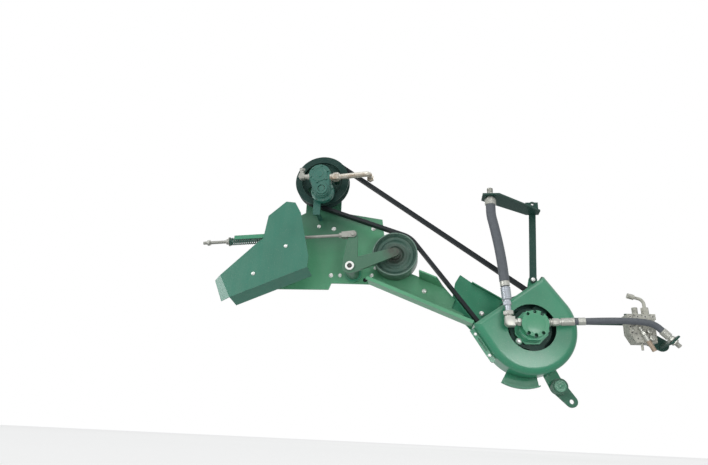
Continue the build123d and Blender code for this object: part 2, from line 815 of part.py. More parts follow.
side_lock = stack(hose_end, hose_way, side_lock_rows + [(0, lug_hole_r, lug_t), (6, 13, 8), (0, 8, 16)])
with BuildPart() as side_bulkhead:
    add(side_lock)
write(side_bulkhead, "side_bulkhead")

# Lower leg of the guard's plate, with its capped boss
leg_bore_r = 8
leg_t = 12
leg_foot_r = 20
leg_boss_r = 27
leg_boss_h = 30
leg_boss_cap_r = 22
leg_boss_cap_h = 5
with BuildPart() as lower_leg:
    with BuildSketch(face_at(*sheave, plate_t)):
        add(link_face(leg_top, leg_w / 2, leg_foot, leg_foot_r))
        with Locations(leg_foot):
            Circle(leg_bore_r, mode=Mode.SUBTRACT)
    extrude(amount=leg_t)
    with BuildSketch(face_at(*sheave, plate_t + leg_t)):
        with Locations(leg_top):
            Circle(leg_boss_r)
    extrude(amount=leg_boss_h)
    with BuildSketch(face_at(*sheave, plate_t + leg_t + leg_boss_h)):
        with Locations(leg_top):
            Circle(leg_boss_cap_r)
    extrude(amount=leg_boss_cap_h)
write(lower_leg, "lower_leg")

# Pivot post of the sprung arm
post_front = arm_front + 4
post_outline = [
    (0, plate_t), (34, plate_t), (34, plate_t + 7), (pivot_r, plate_t + 7), (pivot_r, post_front),
    (9, post_front), (9, post_front - 3), (0, post_front - 3),
]
post_solid = turned(*pivot, post_outline)
with BuildPart() as pivot_post:
    add(post_solid)
write(pivot_post, "pivot_post")

# Sprung arm: sleeve on the post, plate to the idler and leg to the spring rod
idler_hub_back = belt_out - idler_w / 2 + 2
idler_hub_front = arm_out - 5
pin_back = idler_hub_back - side_gap
with BuildPart() as tension_arm:
    with BuildSketch(wall(arm_out)):
        add(link_face(pivot, arm_root_r, idler, arm_end_r))
        add(link_face(pivot, arm_root_r, leg_pin, leg_end_r))
        with Locations(leg_pin):
            Circle(pin_r + run_gap, mode=Mode.SUBTRACT)
    extrude(amount=arm_t)
    with BuildSketch(face_at(*pivot, plate_t + 8)):
        Circle(sleeve_r)
    extrude(amount=arm_out - plate_t - 8)
    with Locations(face_at(*pivot, arm_front)):
        Hole(pivot_r + run_gap)
    with BuildSketch(face_at(*idler, pin_back - 5)):
        Circle(idler_pin_r + 5)
    extrude(amount=5)
    with BuildSketch(face_at(*idler, pin_back)):
        Circle(idler_pin_r)
    extrude(amount=arm_out - pin_back)
    with BuildSketch(face_at(*idler, idler_hub_front + side_gap)):
        Circle(idler_pin_r + 5)
    extrude(amount=arm_out - idler_hub_front - side_gap)
write(tension_arm, "tension_arm")

# Idler: flat rim on a disc with pressed rings, running on the arm's pin
idler_bore = idler_pin_r + run_gap
idler_boss_r = 21
idler_rim_t = 5
idler_disc_t = 7
idler_back = belt_out - idler_w / 2
idler_front = belt_out + idler_w / 2
idler_rim_in = idler_r - idler_rim_t
# Front of the disc; columns: radius, distance out
idler_dish = [
    (idler_rim_in, 80), (idler_r - 13, 80), (idler_r - 17, 84), (idler_r - 27, 84), (idler_r - 31, 79),
    (46, 79), (42, 83), (34, 83), (30, 76), (idler_boss_r, 76),
]
idler_outline = [(idler_bore, idler_hub_back), (idler_boss_r, idler_hub_back)]
idler_outline += [(r, out - idler_disc_t) for r, out in reversed(idler_dish)]
idler_outline += [
    (idler_rim_in, idler_back), (idler_r, idler_back), (idler_r, idler_front), (idler_rim_in, idler_front),
]
idler_outline += idler_dish + [(idler_boss_r, idler_hub_front), (idler_bore, idler_hub_front)]
idler_solid = turned(*idler, idler_outline)
with BuildPart() as idler_pulley:
    add(idler_solid)
write(idler_pulley, "idler_pulley")

# Spring rod: fork on the leg's pin, and a long rod through the anchor and the spring
rod_fall = 3.33
rod_way = Vector(-cos(radians(rod_fall)), 0, -sin(radians(rod_fall)))
rod_start = Vector(leg_pin[0], -arm_mid, leg_pin[1])
fork_plane = Plane(origin=(leg_pin[0], 0, leg_pin[1]), x_dir=rod_way, z_dir=(0, -1, 0))
cheek_back = arm_out - side_gap - cheek_t
cheek_front = arm_front + side_gap + cheek_t
with BuildPart() as spring_rod:
    with BuildSketch(fork_plane.offset(cheek_back), fork_plane.offset(arm_front + side_gap)):
        add(link_face((0, 0), 13, (36, 0), 11))
    extrude(amount=cheek_t)
    with BuildSketch(fork_plane.offset(cheek_back)):
        with Locations((34, 0)):
            Rectangle(22, 22)
    extrude(amount=cheek_front - cheek_back)
    with BuildSketch(fork_plane.offset(cheek_back - 3)):
        Circle(pin_r)
    extrude(amount=cheek_front - cheek_back + 6)
    with BuildSketch(Plane(origin=rod_start + rod_way * 40, z_dir=rod_way)):
        Circle(rod_r)
    extrude(amount=rod_len - 40)
write(spring_rod, "spring_rod")

# Washer and nuts on the rod; columns: distance from the pin, sides, radius, length
anchor_t = 8
spring_from = anchor_reach + anchor_t
washer_at = spring_from + spring_len
nut_rows = [(washer_at, 0, spring_r + 2, 4), (washer_at + 4, 6, 12, 11), (rod_len - 28, 6, 12, 10)]
with BuildPart() as rod_nuts:
    for reach, sides, r, length in nut_rows:
        with BuildSketch(Plane(origin=rod_start + rod_way * reach, z_dir=rod_way)):
            if sides:
                RegularPolygon(r, sides)
            else:
                Circle(r)
            Circle(rod_r, mode=Mode.SUBTRACT)
        extrude(amount=length)
write(rod_nuts, "rod_nuts")

# Spring, its outer form closed round the rod
seat_gap = 0.3
with BuildPart() as spring:
    with BuildSketch(Plane(origin=rod_start + rod_way * (spring_from + seat_gap), z_dir=rod_way)):
        Circle(spring_r)
        Circle(spring_r - spring_wire, mode=Mode.SUBTRACT)
    extrude(amount=spring_len - 2 * seat_gap)
write(spring, "spring")

# Spring anchor: foot on the side plate, upright with an open hole, gauge strap over the spring
anchor_half = 26
anchor_front = arm_mid + spring_r + 10
anchor_plane = Plane(origin=rod_start + rod_way * anchor_reach, x_dir=(0, -1, 0), z_dir=rod_way)
foot_len = 52
gauge_h = 16
gauge_t = 4
with BuildPart() as spring_anchor:
    with BuildSketch(anchor_plane):
        with Locations(((plate_t + anchor_front) / 2 - arm_mid, 0)):
            Rectangle(anchor_front - plate_t, 2 * anchor_half)
        Circle(rod_r + rod_slide, mode=Mode.SUBTRACT)
    extrude(amount=anchor_t)
    foot_plane = Plane(origin=(anchor_plane.origin.X, -plate_t, anchor_plane.origin.Z),
                       x_dir=rod_way, z_dir=(0, -1, 0))
    with BuildSketch(foot_plane):
        with Locations((foot_len / 2, 0)):
            Rectangle(foot_len, 2 * anchor_half)
        with Locations((foot_len - 16, 12), (foot_len - 16, -12)):
            Circle(bolt_hole_r, mode=Mode.SUBTRACT)
    extrude(amount=anchor_t)
    gauge_out = arm_mid + spring_r + 3
    with BuildSketch(foot_plane.offset(gauge_out - plate_t)):
        with Locations((75, -8)):
            Rectangle(150, gauge_h)
    extrude(amount=gauge_t)
write(spring_anchor, "spring_anchor")

# Wedge-shaped cover: flat front, left end bent back, and a lower flange bent towards the wall
cover_left = (-475, -244.5)
cover_right = (-150.5, -109)
cover_tip = (-509, -164.5)
cover_shoulder = (-360, -16)
fold_low = (-440, -229.9)
fold_high = (-487.8, -143.4)
cover_outline = [
    fold_low, cover_right, (-148.5, -66), (-193, 115), (-217.5, 157.5), (-254.5, 162),
    (-321.5, 101), (-333.5, 7), cover_shoulder, fold_high,
]
fold = Vector(cover_right[0] - fold_low[0], 0, cover_right[1] - fold_low[1])
fold_way = fold.normalized()
bend = radians(cover_bend)
flange_way = Vector(fold_way.Z * cos(bend), sin(bend), -fold_way.X * cos(bend))
flange_plane = Plane(
    origin=(fold_low[0], -cover_out, fold_low[1]), x_dir=fold_way, z_dir=fold_way.cross(flange_way))
end_fold = Vector(fold_high[0] - fold_low[0], 0, fold_high[1] - fold_low[1])
end_way = end_fold.normalized()
tilt = radians(cover_tilt)
end_side = Vector(-end_way.Z * cos(tilt), sin(tilt), end_way.X * cos(tilt))
end_plane = Plane(
    origin=(fold_low[0], -cover_out, fold_low[1]), x_dir=end_way, z_dir=end_way.cross(end_side))


def beside_fold(point):
    """Place of a corner on the flat end, as distances along its fold and away from it."""
    away = Vector(point[0] - fold_low[0], 0, point[1] - fold_low[1])
    return (away.dot(end_way), away.dot(Vector(-end_way.Z, 0, end_way.X)))


cover_bolts = [(-240.5, -26), (-357.5, -137)]
with BuildPart() as wedge_cover:
    with BuildSketch(wall(cover_out - sheet_t)):
        add(polygon_face(cover_outline))
    extrude(amount=sheet_t)
    with BuildSketch(flange_plane):
        add(polygon_face([(0, 0), (fold.length, 0), (fold.length, cover_flange), (0, cover_flange)]))
    extrude(amount=sheet_t)
    with BuildSketch(end_plane):
        add(polygon_face([(0, 0), (end_fold.length, 0), beside_fold(cover_tip), beside_fold(cover_left)]))
    extrude(amount=-sheet_t)
write(wedge_cover, "wedge_cover")

with BuildPart() as cover_standoffs:
    with BuildSketch(wall(plate_t)):
        with Locations(*cover_bolts):
            Circle(9)
    extrude(amount=cover_out - sheet_t - plate_t)
write(cover_standoffs, "cover_standoffs")

# Upper hydraulic unit on the pulley's shaft
unit_low = (-118, 220)
with BuildPart() as upper_unit:
    with BuildSketch(wall(pump_back)):
        add(link_face(pump, pump_body_r + 4, unit_low, 34))
    extrude(amount=36)
    with BuildSketch(wall(pump_back + 36)):
        add(link_face(pump, pump_body_r, unit_low, 30))
    extrude(amount=8)
    with BuildSketch(face_at(*unit_low, pump_back + 44)):
        Circle(24)
        Circle(15, mode=Mode.SUBTRACT)
    extrude(amount=6)
    with BuildSketch(face_at(*pump, pump_back)):
        Circle(shaft_r + run_gap)
    extrude(amount=22, mode=Mode.SUBTRACT)
write(upper_unit, "upper_unit")

# Torque strap from the unit down to its post on the side plate
strap_seat_out = pump_back - 8
torque_top = unit_low[1] + 6
torque_foot = (torque_x, torque_end + 16)
with BuildPart() as torque_strap:
    with BuildSketch(wall(strap_seat_out)):
        with Locations((torque_x, (torque_top + torque_end) / 2)):
            Rectangle(torque_w, torque_top - torque_end)
    extrude(amount=pump_back - strap_seat_out)
    with BuildSketch(face_at(*torque_foot, plate_t)):
        Circle(9)
    extrude(amount=strap_seat_out - plate_t)
write(torque_strap, "torque_strap")

# Fittings of the upper unit: elbow on the left, steel tube on the right
unit_port_out = 126
left_port = (pump_x - pump_body_r - 2, -unit_port_out, pump_z - 4)
upper_elbow_x = left_port[0] - 32
upper_nut = stack(left_port, (-1, 0, 0), [(6, 13, 12), (0, 10, 20)])
upper_up = stack((upper_elbow_x, -unit_port_out, left_port[2]), (0, 0, 1), [(0, 10, 26), (6, 14, 12)])
with BuildPart() as upper_elbow:
    add(upper_nut)
    with Locations(Location((upper_elbow_x, -unit_port_out, left_port[2]))):
        Box(24, 22, 24)
    add(upper_up)
    with BuildSketch(wall(pump_back)):
        add(link_face(pump, pump_body_r + 4, unit_low, 34))
    extrude(amount=36, mode=Mode.SUBTRACT)
write(upper_elbow, "upper_elbow")

tube_r = 11
tube_nut_rows = [(6, 13, 12), (0, 9, 4), (6, 15, 14)]
right_port = (pump_x + pump_body_r + 2, -unit_port_out, pump_z - 10)
tube_slope = 0.1
tube_way = Vector(1, 0, tube_slope).normalized()
tube_nuts = stack(right_port, tube_way, tube_nut_rows)
tube_from = Vector(*right_port) + tube_way * 20
tube_bend = Vector(*right_port) + tube_way * (pulley_pitch_r + 53)
tube_points = [tuple(tube_from), tuple(tube_bend), (tube_bend.X, tube_bend.Y + 34, tube_bend.Z)]
pipe = tube(tube_points, tube_r)
end_nut = stack(tube_points[-1], (0, 1, 0), [(6, 15, 14)])
with BuildPart() as steel_tube:
    add(tube_nuts)
    add(pipe)
    add(end_nut)
    with BuildSketch(wall(pump_back)):
        add(link_face(pump, pump_body_r + 4, unit_low, 34))
    extrude(amount=36, mode=Mode.SUBTRACT)
write(steel_tube, "steel_tube")
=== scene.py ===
import json
from math import cos, pi, radians, sin

import bmesh
import bpy
from bpy.props import FloatProperty, FloatVectorProperty, IntProperty, PointerProperty
from bpy.types import Operator, Panel, PropertyGroup
from mathutils import Matrix, Vector


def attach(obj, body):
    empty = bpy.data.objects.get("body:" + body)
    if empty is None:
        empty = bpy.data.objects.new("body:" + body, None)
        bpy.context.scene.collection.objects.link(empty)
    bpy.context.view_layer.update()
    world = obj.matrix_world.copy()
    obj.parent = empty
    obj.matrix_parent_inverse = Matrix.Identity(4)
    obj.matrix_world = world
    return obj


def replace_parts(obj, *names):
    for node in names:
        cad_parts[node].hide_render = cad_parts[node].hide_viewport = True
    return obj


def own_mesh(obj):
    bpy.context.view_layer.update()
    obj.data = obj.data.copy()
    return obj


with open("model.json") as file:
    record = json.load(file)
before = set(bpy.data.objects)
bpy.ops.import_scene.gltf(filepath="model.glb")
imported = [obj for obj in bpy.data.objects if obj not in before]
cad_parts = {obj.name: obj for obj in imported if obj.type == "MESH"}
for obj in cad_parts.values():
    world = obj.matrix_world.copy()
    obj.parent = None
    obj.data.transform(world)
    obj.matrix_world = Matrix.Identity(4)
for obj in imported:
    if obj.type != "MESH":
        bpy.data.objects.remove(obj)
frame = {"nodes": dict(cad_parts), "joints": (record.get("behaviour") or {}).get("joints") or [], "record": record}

bl_info = {
    "name": "Harvester belt drive",
    "version": (1, 0, 0),
    "blender": (4, 5, 0),
    "location": "3D View > Sidebar > Belt Drive",
    "description": "Finishes, fasteners, fittings and stage for a hydraulic belt drive",
    "category": "Object",
}

# Sizes are in millimetres, and "out" is the distance from the wall face towards the viewer
MM = 0.001
OUTWARDS = (0, -1, 0)
UPWARDS = (0, 0, 1)
LEFTWARDS = (-1, 0, 0)

# Joint axes, as X and Z, and the pattern of the wall bolts, from the frame
AXES = {joint["name"]: (joint["pos_m"][0] / MM, joint["pos_m"][2] / MM) for joint in frame["joints"]}
SHEAVE = AXES["sheave_spin"]
PUMP = AXES["pulley_spin"]
PIVOT = AXES["arm_swing"]
IDLER = AXES["idler_spin"]
LEG_PIN = AXES["rod_hinge"]
WALL_BOLTS = next(mount["dims"] for mount in frame["record"]["mounts"] if mount["name"] == "wall_bolts")

# How far out the faces are that pieces stand on
PLATE_OUT = 8
LAPPED_OUT = 13
BOSS_OUT = 55
STRIP_OUT = 92
DRUM_OUT = 101
FLANGE_OUT = 114
ARM_OUT = 118
POST_OUT = 122
PIN_OUT = 127
UNIT_OUT = 144
COVER_OUT = 150
VALVE_OUT = 150
NOTCH_OUT = 174
CAP_OUT = 200
# How far out the middle lines of the rod and of the ports are
ROD_OUT = 112
UNIT_PORT_OUT = 126
PORT_OUT = 182

# Places as X and Z: bolts, the wide hole under them, fittings, the valve block and the leg's boss
PLATE_BOLTS = ((-46, -100), (96.7, -68.3), (-145.4, 111.4))
BEAM_BOLT = (287.8, -162.2)
WIDE_HOLE = (56, -118)
BACK_BOLT = (503, -245)
STRAP_BOLT = (699, -112)
STRIP_BOLTS = ((469.8, -339.2), (516.3, -412.7))
COVER_BOLTS = ((-240.5, -26), (-357.5, -137))
ELBOW = (SHEAVE[0] - 82, SHEAVE[1] + 7)
UPPER_ELBOW = (PUMP[0] - 76, PUMP[1] - 4)
TUBE_PORT = (PUMP[0] + 36, PUMP[1] - 10)
UP_BULKHEAD = (533, 124)
SIDE_BULKHEAD = (1063.5, -331.9)
DRUM = (-118, 220)
VALVE = (1015.5, -327.5)
VALVE_BAR_Z = -279.5
LEG_BOSS = (756, -506)

# Half the elbow's width, and from the sheave's axis to the face of a port
ELBOW_HALF = 17
PORT_REACH = 44.5
# From the middle of the motor, the upper unit and its drum to the bolts round them
CAP_BOLT_R = 40.5
WINDOW_BOLT_R = 64
UNIT_BOLT_R = 37
DRUM_BOLT_R = 41.5
# Ways of the elbow's upper arm and of the spring rod, and the ends of the spring from the rod's pin
ELBOW_LEAN = radians(4)
ELBOW_WAY = Vector((-sin(ELBOW_LEAN), 0, cos(ELBOW_LEAN)))
ROD_FALL = radians(3.33)
ROD_WAY = Vector((-cos(ROD_FALL), 0, -sin(ROD_FALL)))
SPRING_ENDS = (330.4, 494.6)
# Lower corner of the beam's upper end and its slope, and the edge of the spring's anchor
BEAM_FOOT = (71.5, -135.8)
BEAM_FALL = radians(22.6)
ANCHOR_EDGE = -332

# Solids whose finish differs from the other pieces of their slot; several of these finishes are copies of the
# enamel painted darker or lighter for shade and light
OWN_FINISH = {
    "motor_cap": "cap_paint", "motor_housing": "housing_lit_paint", "drive_sheave": "wheel_shade_paint",
    "upper_pulley": "wheel_shade_paint", "tension_arm": "arm_paint", "lower_leg": "leg_paint",
    "side_plate": "plate_paint", "channel_beam": "plate_paint", "wedge_cover": "cover_shade_paint",
    "guard_back_plate": "back_paint", "motor_carrier": "painted_shade_paint", "valve_arm": "painted_shade_paint",
    "hose_shelf": "painted_shade_paint", "upright_strap": "painted_shade_paint", "spring_rod": "dull_zinc",
    "rod_nuts": "dull_zinc",
}


# Settings

class PaintSettings(PropertyGroup):
    """Enamel, its fading and the dust on it, and copies of it painted darker or lighter for shade and light"""

    body_green: FloatVectorProperty(
        name="Body green", description="Enamel of the guard and the small sheet parts",
        subtype="COLOR", size=3, min=0, max=1, default=(0.028, 0.226, 0.121))
    cap_green: FloatVectorProperty(
        name="Cap green", description="Brighter enamel of the motor's cap",
        subtype="COLOR", size=3, min=0, max=1, default=(0.030, 0.235, 0.115))
    idler_green: FloatVectorProperty(
        name="Idler green", description="Rubbed and greasy enamel of the idler",
        subtype="COLOR", size=3, min=0, max=1, default=(0.018, 0.068, 0.048))
    # Painted shade: the two wheels are made this dark for the shadow behind the guard and under the upper unit
    wheel_shade_green: FloatVectorProperty(
        name="Wheel green", description="Enamel of the two grooved wheels",
        subtype="COLOR", size=3, min=0, max=1, default=(0.008, 0.036, 0.030))
    # Painted shade: the guard's enamel made darker and bluer for the shade on the wedge cover
    cover_shade_green: FloatVectorProperty(
        name="Cover green", description="Colder enamel of the wedge cover",
        subtype="COLOR", size=3, min=0, max=1, default=(0.018, 0.150, 0.098))
    arm_green: FloatVectorProperty(
        name="Arm green", description="Greyed enamel of the tension arm",
        subtype="COLOR", size=3, min=0, max=1, default=(0.046, 0.142, 0.084))
    leg_green: FloatVectorProperty(
        name="Leg green", description="Enamel of the lower leg",
        subtype="COLOR", size=3, min=0, max=1, default=(0.030, 0.130, 0.080))
    # Partly painted light: dustier enamel, also lightened to undo the shade that the arm and the flanges cast on
    # the plate and the beam
    plate_dusty_lit_green: FloatVectorProperty(
        name="Plate green", description="Dusty enamel of the side plate and the beam",
        subtype="COLOR", size=3, min=0, max=1, default=(0.084, 0.318, 0.168))
    # Painted shade: a dark green for the motor carrier, valve arm, hose shelf and upright strap, standing in for
    # the shadow they lie in
    painted_shade_green: FloatVectorProperty(
        name="Shade green", description="Oily enamel of the brackets that lie in the shade",
        subtype="COLOR", size=3, min=0, max=1, default=(0.010, 0.050, 0.038))
    # Painted light: lighter than the body's enamel, to undo the shade that the cap casts on the housing
    housing_lit_green: FloatVectorProperty(
        name="Housing green", description="Enamel of the motor's housing and flange",
        subtype="COLOR", size=3, min=0, max=1, default=(0.055, 0.330, 0.180))
    # Partly painted shade: the castings' enamel is made dark for the shadow the upper unit lies in
    casting_shade_green: FloatVectorProperty(
        name="Casting green", description="Enamel of the castings, the standoffs and the spring",
        subtype="COLOR", size=3, min=0, max=1, default=(0.008, 0.105, 0.078))
    dust: FloatVectorProperty(
        name="Dust", description="Dry field dust on upper faces",
        subtype="COLOR", size=3, min=0, max=1, default=(0.36, 0.38, 0.31))
    dust_amount: FloatProperty(
        name="Dust amount", description="Share of an upper face that the dust covers",
        subtype="FACTOR", min=0, max=1, default=0.45)
    edge_round: FloatProperty(
        name="Edge rounding", description="Radius that paint gives to a sheet's edge",
        unit="LENGTH", min=0, default=0.0016)


class MetalSettings(PropertyGroup):
    """Plated and bare metals"""

    zinc: FloatVectorProperty(
        name="Zinc", description="Pale zinc plate on the fittings",
        subtype="COLOR", size=3, min=0, max=1, default=(0.46, 0.465, 0.425))
    yellow_zinc: FloatVectorProperty(
        name="Yellow zinc", description="Aged zinc on the upper tube and its union",
        subtype="COLOR", size=3, min=0, max=1, default=(0.66, 0.64, 0.57))
    blue_zinc: FloatVectorProperty(
        name="Blue zinc", description="Colder zinc on the upright hose's ferrule",
        subtype="COLOR", size=3, min=0, max=1, default=(0.44, 0.475, 0.52))
    bolt_zinc: FloatVectorProperty(
        name="Bolt zinc", description="Brighter zinc on bolts and washers",
        subtype="COLOR", size=3, min=0, max=1, default=(0.88, 0.89, 0.86))
    brass: FloatVectorProperty(
        name="Aged brass", description="Beige end of the valve's drain tube",
        subtype="COLOR", size=3, min=0, max=1, default=(0.40, 0.31, 0.23))
    bare_steel: FloatVectorProperty(
        name="Bare steel", description="Turned and oiled shafts",
        subtype="COLOR", size=3, min=0, max=1, default=(0.40, 0.39, 0.38))
    valve_metal: FloatVectorProperty(
        name="Valve metal", description="Dull cast body of the valve",
        subtype="COLOR", size=3, min=0, max=1, default=(0.50, 0.495, 0.43))


class RubberSettings(PropertyGroup):
    """Hose covers and the belt"""

    hose: FloatVectorProperty(
        name="Hose cover", description="Dusty grey cover of the hoses",
        subtype="COLOR", size=3, min=0, max=1, default=(0.095, 0.104, 0.118))
    belt: FloatVectorProperty(
        name="Belt", description="Worn cloth and rubber of the belt",
        subtype="COLOR", size=3, min=0, max=1, default=(0.006, 0.010, 0.012))


class FastenerSettings(PropertyGroup):
    """Radii of the bolt heads, to the corners"""

    wall_head: FloatProperty(
        name="Wall bolt head", description="Head of the larger bolts, such as the four into the wall",
        unit="LENGTH", min=0.001, default=0.0070)
    plate_head: FloatProperty(
        name="Plate bolt head", description="Head of the smaller bolts on plates and cover",
        unit="LENGTH", min=0.001, default=0.0060)
    guard_head: FloatProperty(
        name="Guard bolt head", description="Head of the bolts in the guard's strip",
        unit="LENGTH", min=0.001, default=0.0048)
    cap_head: FloatProperty(
        name="Cap bolt head", description="Head of the bolts in the caps of the motor and the upper unit",
        unit="LENGTH", min=0.001, default=0.0046)
    drum_head: FloatProperty(
        name="Drum bolt head", description="Head of the bolts round the upper unit's drum",
        unit="LENGTH", min=0.001, default=0.0032)


class SpringSettings(PropertyGroup):
    """Coil on the spring rod"""

    wire: FloatProperty(
        name="Wire radius", description="Half the thickness of the spring's wire",
        unit="LENGTH", min=0.0005, default=0.0024)
    coil: FloatProperty(
        name="Coil radius", description="From the rod's centre to the middle of the wire",
        unit="LENGTH", min=0.002, default=0.0134)
    turns: IntProperty(
        name="Turns", description="Number of turns between the end rings",
        min=4, max=60, default=19)


class StageSettings(PropertyGroup):
    """Floor, lamps and camera"""

    floor_height: FloatProperty(
        name="Floor height", description="Height of the floor, just under the camera",
        unit="LENGTH", default=-0.735)
    floor: FloatVectorProperty(
        name="Floor colour", description="Plain pale floor",
        subtype="COLOR", size=3, min=0, max=1, default=(0.92, 0.92, 0.91))
    floor_glow: FloatProperty(
        name="Floor glow", description="Share of plain white in the floor as the camera sees it",
        subtype="FACTOR", min=0, max=1, default=0.68)
    camera_place: FloatVectorProperty(
        name="Camera place", description="Where the camera stands",
        subtype="XYZ", size=3, default=(0.2935, -2.080, -0.711))
    yaw: FloatProperty(
        name="Yaw", description="How far the camera is turned to the left",
        unit="ROTATION", default=radians(8.0))
    pitch: FloatProperty(
        name="Pitch", description="How far the camera looks up",
        unit="ROTATION", default=radians(20.8))
    roll: FloatProperty(
        name="Roll", description="How far the camera leans to the left",
        unit="ROTATION", default=radians(2.7))
    lens: FloatProperty(
        name="Lens", description="Focal length on a 36 mm wide film",
        min=5, default=27.712)
    key: FloatProperty(
        name="Key lamp", description="Watts of the large lamp high in front",
        min=0, default=23.5)
    left: FloatProperty(
        name="Left lamp", description="Watts of the lamp on the left, at the drive's height",
        min=0, default=21.6)
    low: FloatProperty(
        name="Low lamp", description="Watts of the lamp on the right, near the floor",
        min=0, default=6.5)
    back: FloatProperty(
        name="Back lamp", description="Watts of the lamp behind the drive",
        min=0, default=12)
    sky: FloatProperty(
        name="Sky", description="Strength of the even light from all round",
        min=0, default=0.46)
    sky_colour: FloatVectorProperty(
        name="Sky colour", description="Faintly blue colour of the even light",
        subtype="COLOR", size=3, min=0, max=1, default=(0.93, 0.97, 1.0))


# Materials

# Made materials by the name of their slot or finish; the frame's own plain ones keep their names
FINISHES = {}
# Colours of what lies on the enamel or shows through it; the pale edge and rim colours are partly wear and partly
# painted highlight, and the darkest is a painted shadow
EDGE_WEAR_AND_HIGHLIGHT = (0.32, 0.46, 0.37)
RIM_WEAR_AND_HIGHLIGHT = (0.20, 0.31, 0.25)
HUB_GREASE = (0.055, 0.050, 0.042)
PAINTED_SHADOW = (0.010, 0.032, 0.032)
# Distances in metres from an axis over which grease and the painted shadow thin out
GREASE_REACH = (0.020, 0.052)
SHADOW_REACH = (0.18, 0.32)


class Wire:
    """Output of a node, so that maths on it reads as an expression"""

    def __init__(self, nodes, socket):
        self.nodes = nodes
        self.socket = socket

    def other(self, name):
        """Another output of the same node"""
        return Wire(self.nodes, self.socket.node.outputs[name])

    def maths(self, operation, first, second=0.0):
        return self.nodes.node("ShaderNodeMath", {"operation": operation}, {0: first, 1: second})

    def __add__(self, more):
        return self.maths("ADD", self, more)

    def __radd__(self, more):
        return self.maths("ADD", more, self)

    def __sub__(self, less):
        return self.maths("SUBTRACT", self, less)

    def __rsub__(self, more):
        return self.maths("SUBTRACT", more, self)

    def __mul__(self, times):
        return self.maths("MULTIPLY", self, times)

    def __rmul__(self, times):
        return self.maths("MULTIPLY", times, self)

    def __pow__(self, power):
        return self.maths("POWER", self, power)

    def __or__(self, other):
        """The greater of two masks"""
        return self.maths("MAXIMUM", self, other)

    def held(self, low=0.0, high=1.0):
        """The value stretched so that low becomes 0 and high becomes 1, and clamped"""
        return self.nodes.node("ShaderNodeMapRange", {"clamp": True}, {"Value": self, 1: low, 2: high})


class Nodes:
    """Node tree of a material or the world, made from nothing"""

    def __init__(self, owner):
        owner.use_nodes = True
        self.tree = owner.node_tree
        self.tree.nodes.clear()

    def node(self, kind, settings=None, values=None, out=0):
        """Any node, from its type, its settings and the values or links of its sockets, as its output"""
        made = self.tree.nodes.new(kind)
        for name, value in (settings or {}).items():
            setattr(made, name, value)
        for name, value in (values or {}).items():
            if isinstance(value, Wire):
                self.tree.links.new(value.socket, made.inputs[name])
            else:
                made.inputs[name].default_value = value
        return Wire(self, made.outputs[out]) if made.outputs else None


class Finish(Nodes):
    """Material being made: its patterns and the surface they end in"""

    def __init__(self, name):
        self.material = bpy.data.materials.new(name + "_finish")
        FINISHES[name] = self.material
        super().__init__(self.material)
        self.place = self.node("ShaderNodeTexCoord", out="Object")

    def noise(self, size, detail, roughness=0.55, place=None):
        """Soft random pattern whose features are about size metres wide"""
        return self.node("ShaderNodeTexNoise", None, {
            "Vector": place or self.place, "Scale": 1 / size, "Detail": detail, "Roughness": roughness})

    def stretched(self, scale):
        """Object coordinates scaled unevenly, for streaks"""
        return self.node("ShaderNodeMapping", None, {"Vector": self.place, "Scale": scale})

    def mix(self, factor, first, second):
        """Colour between two colours"""
        ends = [(*end, 1) if isinstance(end, tuple) else end for end in (first, second)]
        return self.node("ShaderNodeMix", {"data_type": "RGBA"}, {0: factor, 6: ends[0], 7: ends[1]}, out=2)

    def from_axis(self, centre):
        """Distance in metres from a line along Y through a centre given in millimetres"""
        parts = self.node("ShaderNodeSeparateXYZ", None, {0: self.place}, out="X")
        across = parts - centre[0] * MM
        above = parts.other("Z") - centre[1] * MM
        return (across * across + above * above) ** 0.5

    def edges(self, radius):
        """Normal rounded over sharp edges, and a mask of those edges"""
        rounded = self.node("ShaderNodeBevel", {"samples": 4}, {"Radius": radius}, out="Normal")
        flat = self.node("ShaderNodeNewGeometry", out="Normal")
        dot = {"operation": "DOT_PRODUCT"}
        match = self.node("ShaderNodeVectorMath", dot, {0: rounded, 1: flat}, out="Value")
        return rounded, ((1 - match) * 9).held()

    def facing_up(self):
        """How far a face looks up, from 0 to 1"""
        normal = self.place.other("Normal")
        return self.node("ShaderNodeSeparateXYZ", None, {0: normal}, out="Z").held(-0.3, 1.0)

    def surface(self, base, roughness, height=None, normal=None, depth=0.0002, strength=0.3, glow=0.0,
                **uniform):
        """Principled surface, with a bump from a height, and a share of white where the camera sees it"""
        values = {"Base Color": base, "Roughness": roughness}
        if height is not None:
            bump = {"Height": height, "Distance": depth, "Strength": strength}
            if normal is not None:
                bump["Normal"] = normal
            values["Normal"] = self.node("ShaderNodeBump", None, bump, out="Normal")
        for name, value in uniform.items():
            values[name.replace("_", " ")] = value
        shader = self.node("ShaderNodeBsdfPrincipled", None, values)
        if glow:
            seen = self.node("ShaderNodeLightPath", out="Is Camera Ray")
            white = self.node("ShaderNodeEmission", None, {"Color": (1, 1, 1, 1), "Strength": 1.0})
            shader = self.node("ShaderNodeMixShader", None, {0: seen * glow, 1: shader, 2: white})
        self.node("ShaderNodeOutputMaterial", None, {"Surface": shader})
        return self.material


def shade(colour, factor):
    """A colour made darker or lighter, within what a colour may be"""
    return tuple(min(1.0, part * factor) for part in colour)


